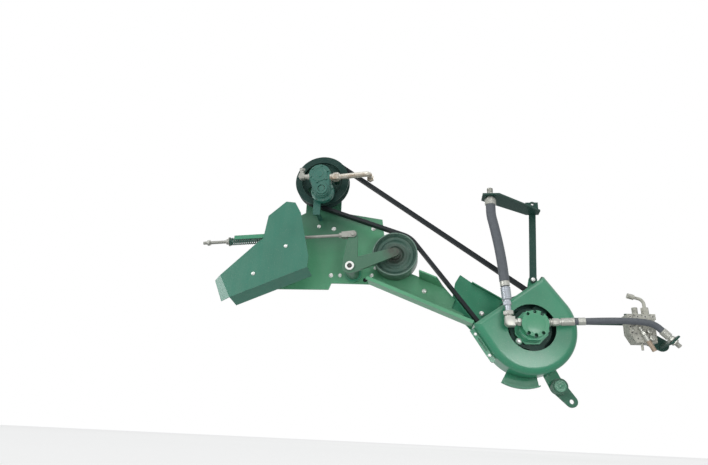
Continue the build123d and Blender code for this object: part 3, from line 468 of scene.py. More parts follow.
def enamel(name, colour, paint, gloss, haze, hub=None, sheen=0.5, shadow_axis=None, rim=None):
    """Sprayed enamel: faded, dusty, worn and painted with a highlight at its edges; greasy round a hub, rubbed and
    painted lighter past a rim as a highlight, or with a painted shadow round an axis
    """
    finish = Finish(name)
    fade = finish.noise(0.16, 2)
    mottle = finish.noise(0.022, 6, 0.68)
    specks = finish.noise(0.0035, 2, 0.5).held(0.62, 0.72)
    peel = finish.noise(0.0012, 1)
    streaks = finish.noise(0.03, 3, 0.6, finish.stretched((1.0, 1.0, 0.16)))
    rounded, edge = finish.edges(paint.edge_round)
    settled = (finish.facing_up() ** 2) * mottle.held(0.30, 0.75) * paint.dust_amount
    dust = (settled + haze * streaks.held(0.35, 0.8)).held()
    # Pale edges: partly worn paint, partly a painted highlight along rounded edges and folds
    worn_and_lit = (edge * mottle.held(0.36, 0.62)).held() * 0.6
    coat = finish.mix(fade.held(0.3, 0.7), tuple(colour), shade(colour, 1.18))
    coat = finish.mix(dust, coat, tuple(paint.dust))
    coat = finish.mix(specks * 0.16, coat, shade(paint.dust, 1.3))
    coat = finish.mix(worn_and_lit, coat, EDGE_WEAR_AND_HIGHLIGHT)
    if hub:
        grease = (1 - finish.from_axis(hub).held(*GREASE_REACH)) * mottle.held(0.15, 0.6) * 0.85
        coat = finish.mix(grease, coat, HUB_GREASE)
    if rim:
        # Pale rim: partly rubbed paint, partly a painted highlight on the idler's rim
        rubbed_and_lit = finish.from_axis(hub).held(rim - 0.006, rim - 0.0045) * mottle.held(0.1, 0.5) * 0.6
        coat = finish.mix(rubbed_and_lit, coat, RIM_WEAR_AND_HIGHLIGHT)
    # Painted shadow: the enamel darkens towards an axis, standing in for the shade round the upper pulley
    if shadow_axis:
        overlay = (1 - finish.from_axis(shadow_axis).held(*SHADOW_REACH)) * mottle.held(0.05, 0.4) * 0.55
        coat = finish.mix(overlay, coat, PAINTED_SHADOW)
    roughness = gloss + dust * 0.35 + fade * 0.08
    return finish.surface(
        coat, roughness, peel, rounded, depth=0.00008, strength=0.25,
        Coat_Weight=sheen / 2, Coat_Roughness=0.12, Specular_IOR_Level=sheen)


def plated(name, colour, low, high, stain, shine=1.0, grain=0.3, underside_shade=0.25, pits=0.0):
    """Plated or turned metal, rough from low to high: scratched, stained, pitted, and darkened below as painted
    shade
    """
    finish = Finish(name)
    cloud = finish.noise(0.018, 4, 0.6)
    scratch = finish.noise(0.0016, 3, 0.6, finish.stretched((1.0, 1.0, 7.0)))
    rounded, edge = finish.edges(0.0007)
    # Painted shade: undersides darken towards the stain colour, as the shaded underside of a lit tube
    under = 1 - finish.facing_up().held(0.05, 0.45)
    grime_and_shade = (cloud.held(0.55, 0.78) * 0.55 + under * cloud.held(0.25, 0.7) * underside_shade).held()
    if pits:
        grime_and_shade = (grime_and_shade + finish.noise(0.007, 2, 0.5).held(0.58, 0.66) * pits).held()
    base = finish.mix(grime_and_shade, tuple(colour), stain)
    bright = finish.mix(edge * 0.4, base, shade(colour, 1.25))
    roughness = low + cloud * (high - low) + scratch * 0.08
    return finish.surface(
        bright, roughness, scratch, rounded, depth=0.00006, strength=grain, Metallic=shine)


def rubber(name, colour, dust, weave, overlay):
    """Hose cover or belt: matt, dusty on top, with the print of a woven wrap"""
    finish = Finish(name)
    mottle = finish.noise(0.012, 5, 0.65)
    wrap = finish.noise(weave, 2, 0.5)
    upper = finish.facing_up() * mottle.held(0.35, 0.75)
    base = finish.mix(mottle.held(0.3, 0.8) * 0.5, tuple(colour), shade(colour, 1.5))
    dusty = finish.mix(upper * overlay, base, tuple(dust))
    roughness = 0.46 + mottle * 0.2
    height = wrap + mottle * 0.4
    return finish.surface(dusty, roughness, height, depth=0.0003, strength=0.35, Specular_IOR_Level=0.3)


# Shapes

def spot(x, z, out):
    """Point of the drive in metres, from X, Z and the distance out in millimetres"""
    return Vector((x, -out, z)) * MM


def around(centre, r, angle, out):
    """Point at a radius in millimetres and an angle in radians from a centre of X and Z"""
    return spot(centre[0] + r * cos(angle), centre[1] + r * sin(angle), out)


def along(start, way, reach):
    """Point at a reach in millimetres along a way"""
    return start + Vector(way).normalized() * reach * MM


def carried(bm, before, start, way, lean=0.0):
    """Moves what was made since before from the origin and +Z to a start and a way"""
    made = [vert for vert in bm.verts if vert not in before]
    turn = Vector(way).to_track_quat("Z", "Y").to_matrix().to_4x4()
    place = Matrix.Translation(start) @ turn @ Matrix.Rotation(lean, 4, "Z")
    bmesh.ops.transform(bm, verts=made, matrix=place)
    return made


def touching(items, verts):
    """Edges or faces that stand on some corners, in the mesh's own order"""
    verts = set(verts)
    return [item for item in items if item.verts[0] in verts]


def face_outwards(bm, verts):
    """Turns the normals of the faces at some corners outward"""
    bmesh.ops.recalc_face_normals(bm, faces=touching(bm.faces, verts))


def turned(bm, start, way, outline, steps):
    """Shape turned about a way, from a closed outline of radius and height in millimetres"""
    before = set(bm.verts)
    corners = [bm.verts.new((r * MM, 0, h * MM)) for r, h in outline]
    sides = [bm.edges.new(pair) for pair in zip(corners, corners[1:] + corners[:1])]
    bmesh.ops.spin(
        bm, geom=corners + sides, cent=(0, 0, 0), axis=UPWARDS, angle=2 * pi, steps=steps, use_merge=True)
    made = [vert for vert in bm.verts if vert not in before]
    bmesh.ops.remove_doubles(bm, verts=made, dist=0.00001)
    face_outwards(bm, carried(bm, before, start, way))


def hexagon(bm, start, way, r, height, bevel=0.8, lean=0.0):
    """Six-sided bar with broken edges, such as a bolt head or nut; sizes in millimetres"""
    before = set(bm.verts)
    foot = bmesh.ops.create_circle(bm, cap_ends=True, segments=6, radius=r * MM)
    face = foot["verts"][0].link_faces[0]
    lifted = bmesh.ops.extrude_face_region(bm, geom=[face])
    tops = [item for item in lifted["geom"] if isinstance(item, bmesh.types.BMVert)]
    bmesh.ops.translate(bm, verts=tops, vec=(0, 0, height * MM))
    edges = touching(bm.edges, [vert for vert in bm.verts if vert not in before])
    flat = [edge for edge in edges if abs(edge.verts[0].co.z - edge.verts[1].co.z) < 1e-6]
    bmesh.ops.bevel(bm, geom=flat, offset=bevel * MM, affect="EDGES", segments=2, profile=0.5, material=-1)
    face_outwards(bm, carried(bm, before, start, way, lean))


def slab(bm, outline, out, height, bevel):
    """Plate from an outline of X and Z, from one distance out to another, with broken edges; millimetres"""
    corners = [bm.verts.new(spot(x, z, out)) for x, z in outline]
    face = bm.faces.new(corners)
    lifted = bmesh.ops.extrude_face_region(bm, geom=[face])
    tops = [item for item in lifted["geom"] if isinstance(item, bmesh.types.BMVert)]
    bmesh.ops.translate(bm, verts=tops, vec=(0, -height * MM, 0))
    edges = touching(bm.edges, corners + tops)
    flat = [edge for edge in edges if abs(edge.verts[0].co.y - edge.verts[1].co.y) < 1e-6]
    face_outwards(bm, corners + tops)
    bmesh.ops.bevel(bm, geom=flat, offset=bevel * MM, affect="EDGES", segments=2, profile=0.5, material=-1)


def arc(x, z, r, start, end, steps=8):
    """Corners along an arc about a point, from one angle to another in degrees"""
    turns = [radians(start + (end - start) * i / steps) for i in range(steps + 1)]
    return [(x + r * cos(turn), z + r * sin(turn)) for turn in turns]


def bolt(bm, start, way, r, lean=0.3):
    """Flanged bolt head: washer face, dished flange and six-sided head, r metres to its corners"""
    r = r / MM
    head = 0.62 * r
    flange = 1.32 * r
    turned(bm, start, way, [
        (0, -1.5), (flange, -1.5), (flange, 0.9), (1.24 * r, 1.6), (0.85 * r, 2.6), (0, 2.6)], 24)
    hexagon(bm, along(start, way, 2.0), way, r, head, bevel=0.10 * r, lean=lean)
    turned(bm, along(start, way, 2.0 + head), way, [(0, -1), (head, -1), (0.58 * r, 0.25), (0, 0.25)], 20)


def ring(r, tube, sides=8):
    """Outline of a round ring, from its own radius and that of its wire"""
    turns = [2 * pi * i / sides for i in range(sides)]
    return [(r + tube * cos(turn), tube * sin(turn)) for turn in turns]


def disc(r, low, high):
    """Outline of a flat round plate, from one height to another"""
    return [(0, low), (r, low), (r, high), (0, high)]


def neck(r, length):
    """Outline of a plain round stretch of a fitting"""
    return [(0, -0.3), (r, -0.3), (r, length - 0.6), (r - 0.6, length), (0, length)]


def collar(r, length):
    """Outline of a round stretch with both edges broken"""
    return [(0, 0), (r - 1, 0), (r, 1), (r, length - 1), (r - 1, length), (0, length)]


def ferrule(r, length):
    """Outline of a crimped ferrule: shoulders and pressed ridges"""
    outline = [(0, 0), (r - 2.6, 0), (r - 0.8, 1.6), (r, 2.6)]
    ridges = max(2, round(length / 8))
    pitch = (length - 6) / ridges
    for i in range(ridges):
        foot = 3 + pitch * i
        outline += [
            (r, foot + 0.30 * pitch), (r - 1.1, foot + 0.42 * pitch),
            (r - 1.1, foot + 0.76 * pitch), (r, foot + 0.90 * pitch)]
    return outline + [(r, length - 1.2), (r - 1.2, length), (0, length)]


def thread(r, length, pitch=1.75):
    """Outline of a screw thread, as close rings"""
    outline = [(0, -0.3), (r - 0.9, -0.3)]
    for i in range(int(length / pitch)):
        outline += [(r - 0.9, (i + 0.15) * pitch), (r, (i + 0.5) * pitch), (r - 0.9, (i + 0.85) * pitch)]
    return outline + [(r - 0.9, length - 0.8), (r - 1.8, length), (0, length)]


# Outline and number of steps of each round form of a fitting
ROUND_FORMS = {"neck": (neck, 32), "collar": (collar, 36), "ferrule": (ferrule, 40), "thread": (thread, 28)}


def fitting(bm, start, way, rows):
    """Coaxial parts of a fitting along a way. Columns of a row: form, radius, length"""
    for form, r, length in rows:
        if form == "nut":
            turned(bm, start, way, neck(r * 0.86, length), 32)
            hexagon(bm, along(start, way, 0.5), way, r, length - 1, bevel=0.9, lean=0.26)
        else:
            outline, steps = ROUND_FORMS[form]
            turned(bm, start, way, outline(r, length), steps)
        start = along(start, way, length)
    return start


def weld(bm, start, end, size=2.4):
    """Weld bead from one point to another, as overlapping ripples"""
    run = end - start
    count = max(2, int(run.length / (size * 0.8 * MM)))
    for i in range(count + 1):
        before = set(bm.verts)
        bmesh.ops.create_icosphere(bm, subdivisions=1, radius=size * MM)
        made = [vert for vert in bm.verts if vert not in before]
        bmesh.ops.transform(bm, verts=made, matrix=Matrix.Translation(start + run * i / count))


def finished(name, bm, slot, body="frame", sharp=32, finish=None):
    """Object from a bmesh, with its own finish or that of its slot, riding on a body"""
    mesh = bpy.data.meshes.new(name)
    bm.to_mesh(mesh)
    bm.free()
    mesh.shade_smooth()
    mesh.set_sharp_from_angle(angle=radians(sharp))
    mesh.materials.append(FINISHES[finish or slot])
    piece = bpy.data.objects.new(name, mesh)
    bpy.context.scene.collection.objects.link(piece)
    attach(piece, body)
    return piece


# Operators

class DRIVE_OT_finishes(Operator):
    """Makes the materials and gives each solid of the frame its own or the one of its slot"""

    bl_idname = "drive.finishes"
    bl_label = "Finishes"

    def execute(self, context):
        paint = context.scene.drive_paint
        metal = context.scene.drive_metal
        soft = context.scene.drive_rubber
        enamel("green_paint", paint.body_green, paint, gloss=0.28, haze=0.05)
        # Partly painted shade: dark enamel of the castings in the upper unit's shadow
        enamel("dark_green_paint", paint.casting_shade_green, paint, gloss=0.40, haze=0.04)
        # Painted shade: a darker, bluer copy of the guard's enamel
        enamel("cover_shade_paint", paint.cover_shade_green, paint, gloss=0.30, haze=0.05)
        enamel("cap_paint", paint.cap_green, paint, gloss=0.34, haze=0.04)
        # Painted light: a lightened copy of the enamel for the shaded housing
        enamel("housing_lit_paint", paint.housing_lit_green, paint, gloss=0.36, haze=0.05)
        enamel("arm_paint", paint.arm_green, paint, gloss=0.40, haze=0.05, hub=IDLER, sheen=0.4)
        enamel("leg_paint", paint.leg_green, paint, gloss=0.52, haze=0.05, sheen=0.25)
        # Painted light and shade: the plate's enamel is lightened against the shade on it, and darkened round the
        # upper pulley as a painted shadow
        enamel("plate_paint", paint.plate_dusty_lit_green, paint, gloss=0.34, haze=0.06, sheen=0.4, shadow_axis=PUMP)
        enamel("back_paint", paint.body_green, paint, gloss=0.50, haze=0.05, sheen=0.25)
        # Painted shade: a dark copy of the enamel for parts that lie in shadow
        enamel("painted_shade_paint", paint.painted_shade_green, paint, gloss=0.50, haze=0.02, sheen=0.2)
        # Painted shade: the wheels' dark enamel stands in for the shadow they lie in
        enamel("wheel_shade_paint", paint.wheel_shade_green, paint, gloss=0.52, haze=0.01, sheen=0.15)
        enamel("idler_paint", paint.idler_green, paint, gloss=0.44, haze=0.10,
               hub=IDLER, sheen=0.4, rim=0.087)
        plated("zinc_steel", metal.zinc, 0.26, 0.44, stain=(0.50, 0.47, 0.40), shine=0.55)
        plated("bolt_zinc", metal.bolt_zinc, 0.24, 0.40, stain=(0.55, 0.54, 0.48), shine=0.45)
        plated("blue_zinc", metal.blue_zinc, 0.26, 0.44, stain=(0.36, 0.37, 0.38), shine=0.55)
        plated("dull_zinc", shade(metal.zinc, 0.75), 0.36, 0.55, stain=(0.22, 0.22, 0.18), shine=0.55)
        # Painted shade: a dark steel for discs and bolts that stand in for shaded recesses
        plated("recess_shade_steel", shade(metal.bare_steel, 0.25), 0.30, 0.50, stain=(0.04, 0.03, 0.02))
        plated("yellow_zinc", metal.yellow_zinc, 0.24, 0.44, stain=(0.30, 0.21, 0.13),
               shine=0.70, grain=0.2, underside_shade=0.9)
        plated("aged_brass", metal.brass, 0.42, 0.60, stain=(0.16, 0.11, 0.08), shine=0.20)
        plated("bare_steel", metal.bare_steel, 0.22, 0.40, stain=(0.16, 0.12, 0.09))
        plated("valve_metal", metal.valve_metal, 0.50, 0.66, stain=(0.11, 0.11, 0.10),
               shine=0.10, grain=0.08, underside_shade=0.4, pits=0.75)
        rubber("hose_rubber", soft.hose, paint.dust, weave=0.0012, overlay=0.20)
        rubber("belt_rubber", soft.belt, shade(paint.dust, 0.5), weave=0.0009, overlay=0.04)
        for part in frame["record"]["subparts"]:
            mesh = frame["nodes"][part["node"]].data
            mesh.materials.clear()
            mesh.materials.append(FINISHES[OWN_FINISH.get(part["node"], part["material_slot"])])
        return {"FINISHED"}


class DRIVE_OT_plate_bolts(Operator):
    """Bolts on the side plate and the beam, and a dark disc painted as the shade in the wide hole"""

    bl_idname = "drive.plate_bolts"
    bl_label = "Plate bolts"

    def execute(self, context):
        sizes = context.scene.drive_fasteners
        wall_x = WALL_BOLTS["spacing_x_mm"] / 2
        wall_z = WALL_BOLTS["spacing_y_mm"] / 2
        bm = bmesh.new()
        for x in (-wall_x, wall_x):
            for z in (-wall_z, wall_z):
                bolt(bm, spot(x, z, PLATE_OUT), OUTWARDS, sizes.wall_head, 0.2 + x / 100)
        for x, z in PLATE_BOLTS:
            bolt(bm, spot(x, z, PLATE_OUT), OUTWARDS, sizes.plate_head, 0.5)
        bolt(bm, spot(*BEAM_BOLT, LAPPED_OUT), OUTWARDS, sizes.wall_head, 0.9)
        finished("plate_bolts", bm, "zinc_steel", finish="bolt_zinc")
        # Painted shade: a dark rubber disc in the wide hole stands in for the shade seen through it
        bm = bmesh.new()
        turned(bm, spot(*WIDE_HOLE, 1), OUTWARDS, [(0, 0), (9.2, 0), (9.2, 2), (7, 3), (0, 3)], 32)
        finished("wide_hole_shade", bm, "belt_rubber")
        return {"FINISHED"}


class DRIVE_OT_guard_bolts(Operator):
    """Bolts of the guard's back plate, the upright strap and the strip"""

    bl_idname = "drive.guard_bolts"
    bl_label = "Guard bolts"

    def execute(self, context):
        sizes = context.scene.drive_fasteners
        bm = bmesh.new()
        bolt(bm, spot(*BACK_BOLT, PLATE_OUT), OUTWARDS, sizes.wall_head)
        bolt(bm, spot(*STRAP_BOLT, LAPPED_OUT), OUTWARDS, sizes.plate_head)
        for x, z in STRIP_BOLTS:
            bolt(bm, spot(x, z, STRIP_OUT), OUTWARDS, sizes.guard_head)
        finished("guard_bolts", bm, "zinc_steel", finish="bolt_zinc")
        return {"FINISHED"}


class DRIVE_OT_motor_trim(Operator):
    """Bolts in the motor cap's notches, its raised face and the bolt in the window"""

    bl_idname = "drive.motor_trim"
    bl_label = "Motor trim"

    def execute(self, context):
        sizes = context.scene.drive_fasteners
        head = sizes.cap_head / MM
        socket = 0.6 * head
        bm = bmesh.new()
        for angle in (54, 90, 126, -54, -90, -126):
            turned(bm, around(SHEAVE, CAP_BOLT_R, radians(angle), NOTCH_OUT), OUTWARDS, [
                (0, 0), (head, 0), (head, 9), (head - 0.6, 9.6), (socket, 9.6), (socket, 5), (0, 5)], 18)
        finished("cap_bolts", bm, "dark_green_paint")
        bm = bmesh.new()
        turned(bm, spot(*SHEAVE, CAP_OUT), OUTWARDS, [(0, -2), (34, -2), (33, 0), (29, 0.5), (0, 0.6)], 56)
        finished("cap_face", bm, "dark_green_paint", finish="cap_paint")
        bm = bmesh.new()
        bolt(bm, around(SHEAVE, WINDOW_BOLT_R, radians(-134), FLANGE_OUT), OUTWARDS, sizes.wall_head)
        finished("window_bolt", bm, "zinc_steel", finish="bolt_zinc")
        return {"FINISHED"}


class DRIVE_OT_elbow_fitting(Operator):
    """Forged elbow of the left port, its swivel nuts and both ends of the upright hose"""

    bl_idname = "drive.elbow_fitting"
    bl_label = "Elbow fitting"

    def execute(self, context):
        x, z = ELBOW
        half = ELBOW_HALF
        bm = bmesh.new()
        port = spot(SHEAVE[0] - PORT_REACH, z, PORT_OUT)
        fitting(bm, port, LEFTWARDS, [("nut", 14, 13), ("neck", 11, 9)])
        low = arc(x - 3, z - 3, half - 3, 180, 270)
        slab(bm, low + [(x + half, z - half), (x + half, z + half), (x - half, z + half)],
             PORT_OUT - half, 2 * half, 3)
        elbow = spot(x, z, PORT_OUT)
        fitting(bm, along(elbow, ELBOW_WAY, 16), ELBOW_WAY, [("neck", 12, 7), ("nut", 19, 14)])
        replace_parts(finished("elbow_forging", bm, "zinc_steel"), "left_elbow")
        bm = bmesh.new()
        fitting(bm, along(elbow, ELBOW_WAY, 37), ELBOW_WAY, [
            ("neck", 10.5, 20), ("nut", 15, 13), ("neck", 12.5, 6), ("ferrule", 17, 45)])
        crimp = finished("upright_crimp", bm, "zinc_steel", finish="blue_zinc")
        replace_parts(crimp, "up_hose_end")
        bm = bmesh.new()
        seam = along(elbow, ELBOW_WAY, 121)
        fitting(bm, seam, ELBOW_WAY, [("neck", 12.5, 7)])
        finished("upright_seam", bm, "hose_rubber")
        bm = bmesh.new()
        fitting(bm, along(seam, ELBOW_WAY, 4), ELBOW_WAY, [("collar", 16.5, 18)])
        finished("upright_collar", bm, "zinc_steel")
        bm = bmesh.new()
        fitting(bm, spot(*UP_BULKHEAD, PORT_OUT), UPWARDS, [
            ("ferrule", 20.5, 22), ("nut", 17, 8), ("neck", 13.5, 6), ("nut", 17, 10), ("thread", 11, 22)])
        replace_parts(finished("upright_lock", bm, "zinc_steel"), "up_bulkhead")
        return {"FINISHED"}


class DRIVE_OT_side_fitting(Operator):
    """Straight fittings of the side hose, at the motor and at the valve arm"""

    bl_idname = "drive.side_fitting"
    bl_label = "Side fittings"

    def execute(self, context):
        level = (1, 0, 0.05)
        bm = bmesh.new()
        seam = fitting(bm, spot(SHEAVE[0] + PORT_REACH, ELBOW[1], PORT_OUT), level, [
            ("neck", 10, 4.5), ("collar", 13, 4), ("neck", 9, 4), ("nut", 13, 23), ("neck", 10.5, 5),
            ("ferrule", 13.5, 44)])
        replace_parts(finished("side_crimp", bm, "zinc_steel"), "side_hose_end")
        bm = bmesh.new()
        fitting(bm, along(seam, level, -1), level, [("neck", 11, 14)])
        finished("side_seam", bm, "hose_rubber")
        bm = bmesh.new()
        fitting(bm, along(seam, level, 12), level, [("collar", 13, 24)])
        finished("side_collar", bm, "zinc_steel")
        bm = bmesh.new()
        fitting(bm, spot(*SIDE_BULKHEAD, PORT_OUT), (12.2, 0, -13.1), [
            ("ferrule", 13.5, 28), ("neck", 10, 5), ("nut", 13, 8), ("neck", 9, 6), ("nut", 13, 8),
            ("thread", 8, 16)])
        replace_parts(finished("side_lock", bm, "zinc_steel"), "side_bulkhead")
        return {"FINISHED"}


class DRIVE_OT_idler_pressing(Operator):
    """Pressed idler with rolled lips, dished rings and a bearing hub"""

    bl_idname = "drive.idler_pressing"
    bl_label = "Idler"

    def execute(self, context):
        # Stretches of the outline, as radius and distance out
        hub_back = [(12.1, 27), (20, 27), (21, 28)]
        web_back = [
            (21, 69), (30, 69), (32, 70), (35, 75), (41, 75.6), (44.5, 72.6), (47, 71.8), (55, 72),
            (58, 74.5), (60, 76.6), (69, 76.6), (72.5, 73.4), (75, 72.6), (82, 72.6),
        ]
        rim = [
            (82, 27), (82.6, 25.5), (84.5, 25), (86.4, 25.6), (87, 27.2), (87, 92.6), (86.4, 94.4),
            (84.5, 95), (82.6, 94.4), (82, 92.8),
        ]
        web_front = [
            (82, 82.4), (80.5, 80.4), (75, 80), (72.6, 81.2), (70.4, 83.4), (68.6, 84), (61, 84),
            (59, 83.2), (56.4, 80), (54.4, 79.2), (47, 79.2), (45, 80.2), (42.8, 82.4), (41, 83),
            (35, 83), (33.4, 82), (30.6, 77), (29, 76), (21.8, 76),
        ]
        hub_front = [(21, 77), (21, 100), (20, 101), (12.1, 101)]
        bm = bmesh.new()
        turned(bm, spot(*IDLER, 0), OUTWARDS, hub_back + web_back + rim + web_front + hub_front, 96)
        idler = finished("idler_pressing", bm, "green_paint", "idler", sharp=40, finish="idler_paint")
        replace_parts(idler, "idler_pulley")
        return {"FINISHED"}


class DRIVE_OT_arm_trim(Operator):
    """Washer and bolt of the pivot, and the cap at the arm's end"""

    bl_idname = "drive.arm_trim"
    bl_label = "Arm trim"

    def execute(self, context):
        bm = bmesh.new()
        turned(bm, spot(*PIVOT, POST_OUT), OUTWARDS, [
            (9.4, -1), (17.5, -1), (17.5, 1.2), (16.6, 2.2), (10.4, 2.2), (9.4, 1.2)], 48)
        finished("pivot_washer", bm, "zinc_steel", finish="bolt_zinc")
        bm = bmesh.new()
        # Painted shade: the disc and bolt in the post's recess are dark, as if in shadow
        turned(bm, spot(*PIVOT, POST_OUT - 3), OUTWARDS, [
            (0, -0.5), (8.9, -0.5), (8.9, 0.4), (8.3, 0.8), (0, 0.8)], 36)
        hexagon(bm, spot(*PIVOT, POST_OUT - 2.5), OUTWARDS, 6, 3.6, bevel=0.6, lean=0.2)
        finished("pivot_bolt", bm, "bare_steel", finish="recess_shade_steel")
        bm = bmesh.new()
        turned(bm, spot(*IDLER, ARM_OUT), OUTWARDS, [(0, -1), (11, -1), (11, 0.5), (10.2, 1), (0, 1)], 36)
        finished("arm_end_cap", bm, "green_paint", "arm", finish="arm_paint")
        return {"FINISHED"}


class DRIVE_OT_spring(Operator):
    """Coil spring round the rod"""

    bl_idname = "drive.spring"
    bl_label = "Spring"

    def execute(self, context):
        size = context.scene.drive_spring
        start = spot(*LEG_PIN, ROD_OUT)
        low, high = SPRING_ENDS
        height = (high - low) * MM
        sides = 9
        steps = 18 * size.turns
        rise = (height - 2 * size.wire) / steps
        bm = bmesh.new()
        loop = bmesh.ops.create_circle(bm, segments=sides, radius=size.wire)
        bmesh.ops.rotate(bm, verts=loop["verts"], matrix=Matrix.Rotation(pi / 2, 3, "X"))
        bmesh.ops.translate(bm, verts=loop["verts"], vec=(size.coil, 0, size.wire))
        bmesh.ops.spin(
            bm, geom=[*bm.verts, *bm.edges], cent=(0, 0, 0), axis=UPWARDS, dvec=(0, 0, rise),
            angle=2 * pi * size.turns, steps=steps)
        bmesh.ops.holes_fill(bm, edges=[edge for edge in bm.edges if edge.is_boundary], sides=sides)
        bmesh.ops.recalc_face_normals(bm, faces=bm.faces)
        carried(bm, (), along(start, ROD_WAY, low), ROD_WAY)
        for reach in (low + 2.2, high - 2.2):
            turned(bm, along(start, ROD_WAY, reach), ROD_WAY, ring(size.coil / MM, 2.15), 36)
        coil = finished("spring_coil", bm, "dark_green_paint")
        along(start, ROD_WAY, low)
        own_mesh(coil)
        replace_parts(coil, "spring")
        return {"FINISHED"}


class DRIVE_OT_rod_trim(Operator):
    """Nut, pin head and threads of the spring rod"""

    bl_idname = "drive.rod_trim"
    bl_label = "Rod trim"

    def execute(self, context):
        start = spot(*LEG_PIN, ROD_OUT)
        bm = bmesh.new()
        # Columns: how far from the pin a thread starts, its length
        for reach, length in ((511, 66), (588, 18)):
            turned(bm, along(start, ROD_WAY, reach), ROD_WAY, thread(6.4, length), 24)
        hexagon(bm, along(start, ROD_WAY, 46), ROD_WAY, 11, 10, lean=0.2)
        turned(bm, spot(*LEG_PIN, PIN_OUT), OUTWARDS, [(0, -1), (9, -1), (9, 1), (7.5, 3), (0, 3)], 28)
        finished("rod_trim", bm, "zinc_steel", "rod", finish="dull_zinc")
        return {"FINISHED"}


class DRIVE_OT_cover_bolts(Operator):
    """Bolts that hold the wedge cover to its standoffs"""

    bl_idname = "drive.cover_bolts"
    bl_label = "Cover bolts"

    def execute(self, context):
        head = context.scene.drive_fasteners.plate_head
        bm = bmesh.new()
        for x, z in COVER_BOLTS:
            bolt(bm, spot(x, z, COVER_OUT), OUTWARDS, head * 0.9, 0.4)
        finished("cover_bolts", bm, "zinc_steel", finish="bolt_zinc")
        return {"FINISHED"}


class DRIVE_OT_unit_trim(Operator):
    """Ribbed cap, drum and bolts of the upper unit, and its fittings"""

    bl_idname = "drive.unit_trim"
    bl_label = "Upper unit trim"

    def execute(self, context):
        sizes = context.scene.drive_fasteners
        bm = bmesh.new()
        turned(bm, spot(*PUMP, UNIT_OUT), OUTWARDS, [
            (0, -2), (33, -2), (33, 1), (31.5, 2.5), (27, 2.5), (25, 1), (15, 1), (14, 3), (0, 3)], 56)
        for i in range(6):
            turn = radians(20 + i * 60)
            place = around(PUMP, UNIT_BOLT_R, turn, UNIT_OUT)
            hexagon(bm, place, OUTWARDS, sizes.cap_head / MM, 4.5, bevel=0.6, lean=turn)
        turned(bm, spot(*DRUM, UNIT_OUT), OUTWARDS, [(0, -1), (13, -1), (13, 3), (11.5, 4), (0, 4)], 36)
        finished("unit_cap", bm, "dark_green_paint")
        bm = bmesh.new()
        turned(bm, spot(*DRUM, DRUM_OUT), OUTWARDS, [
            (0, 0), (45, 0), (47, 2), (47, 19), (45.5, 22),
            (42, 23.5), (38, 24), (36, 27), (32, 30), (0, 30)], 64)
        for i in range(8):
            turn = radians(12 + i * 45)
            bolt(bm, around(DRUM, DRUM_BOLT_R, turn, DRUM_OUT + 23), OUTWARDS, sizes.drum_head, turn)
        finished("unit_drum", bm, "dark_green_paint")
        bm = bmesh.new()
        fitting(bm, spot(*TUBE_PORT, UNIT_PORT_OUT), (1, 0, 0.1), [
            ("collar", 15, 15), ("neck", 11, 3), ("nut", 19, 24), ("collar", 13.5, 5)])
        finished("tube_union", bm, "yellow_zinc")
        x, z = UPPER_ELBOW
        bm = bmesh.new()
        fitting(bm, spot(x + 36, z, UNIT_PORT_OUT), LEFTWARDS, [("collar", 13, 10), ("neck", 9.5, 14)])
        finished("upper_swivel", bm, "zinc_steel")
        bm = bmesh.new()
        slab(bm, arc(x, z, 12, 180, 270) + [(x + 13, z - 12), (x + 13, z + 12), (x - 12, z + 12)],
             UNIT_PORT_OUT - 11, 22, 2.5)
        fitting(bm, spot(x, z + 11, UNIT_PORT_OUT), UPWARDS, [("neck", 9.5, 14), ("nut", 13, 12)])
        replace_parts(finished("upper_forging", bm, "yellow_zinc", finish="dull_zinc"), "upper_elbow")
        return {"FINISHED"}


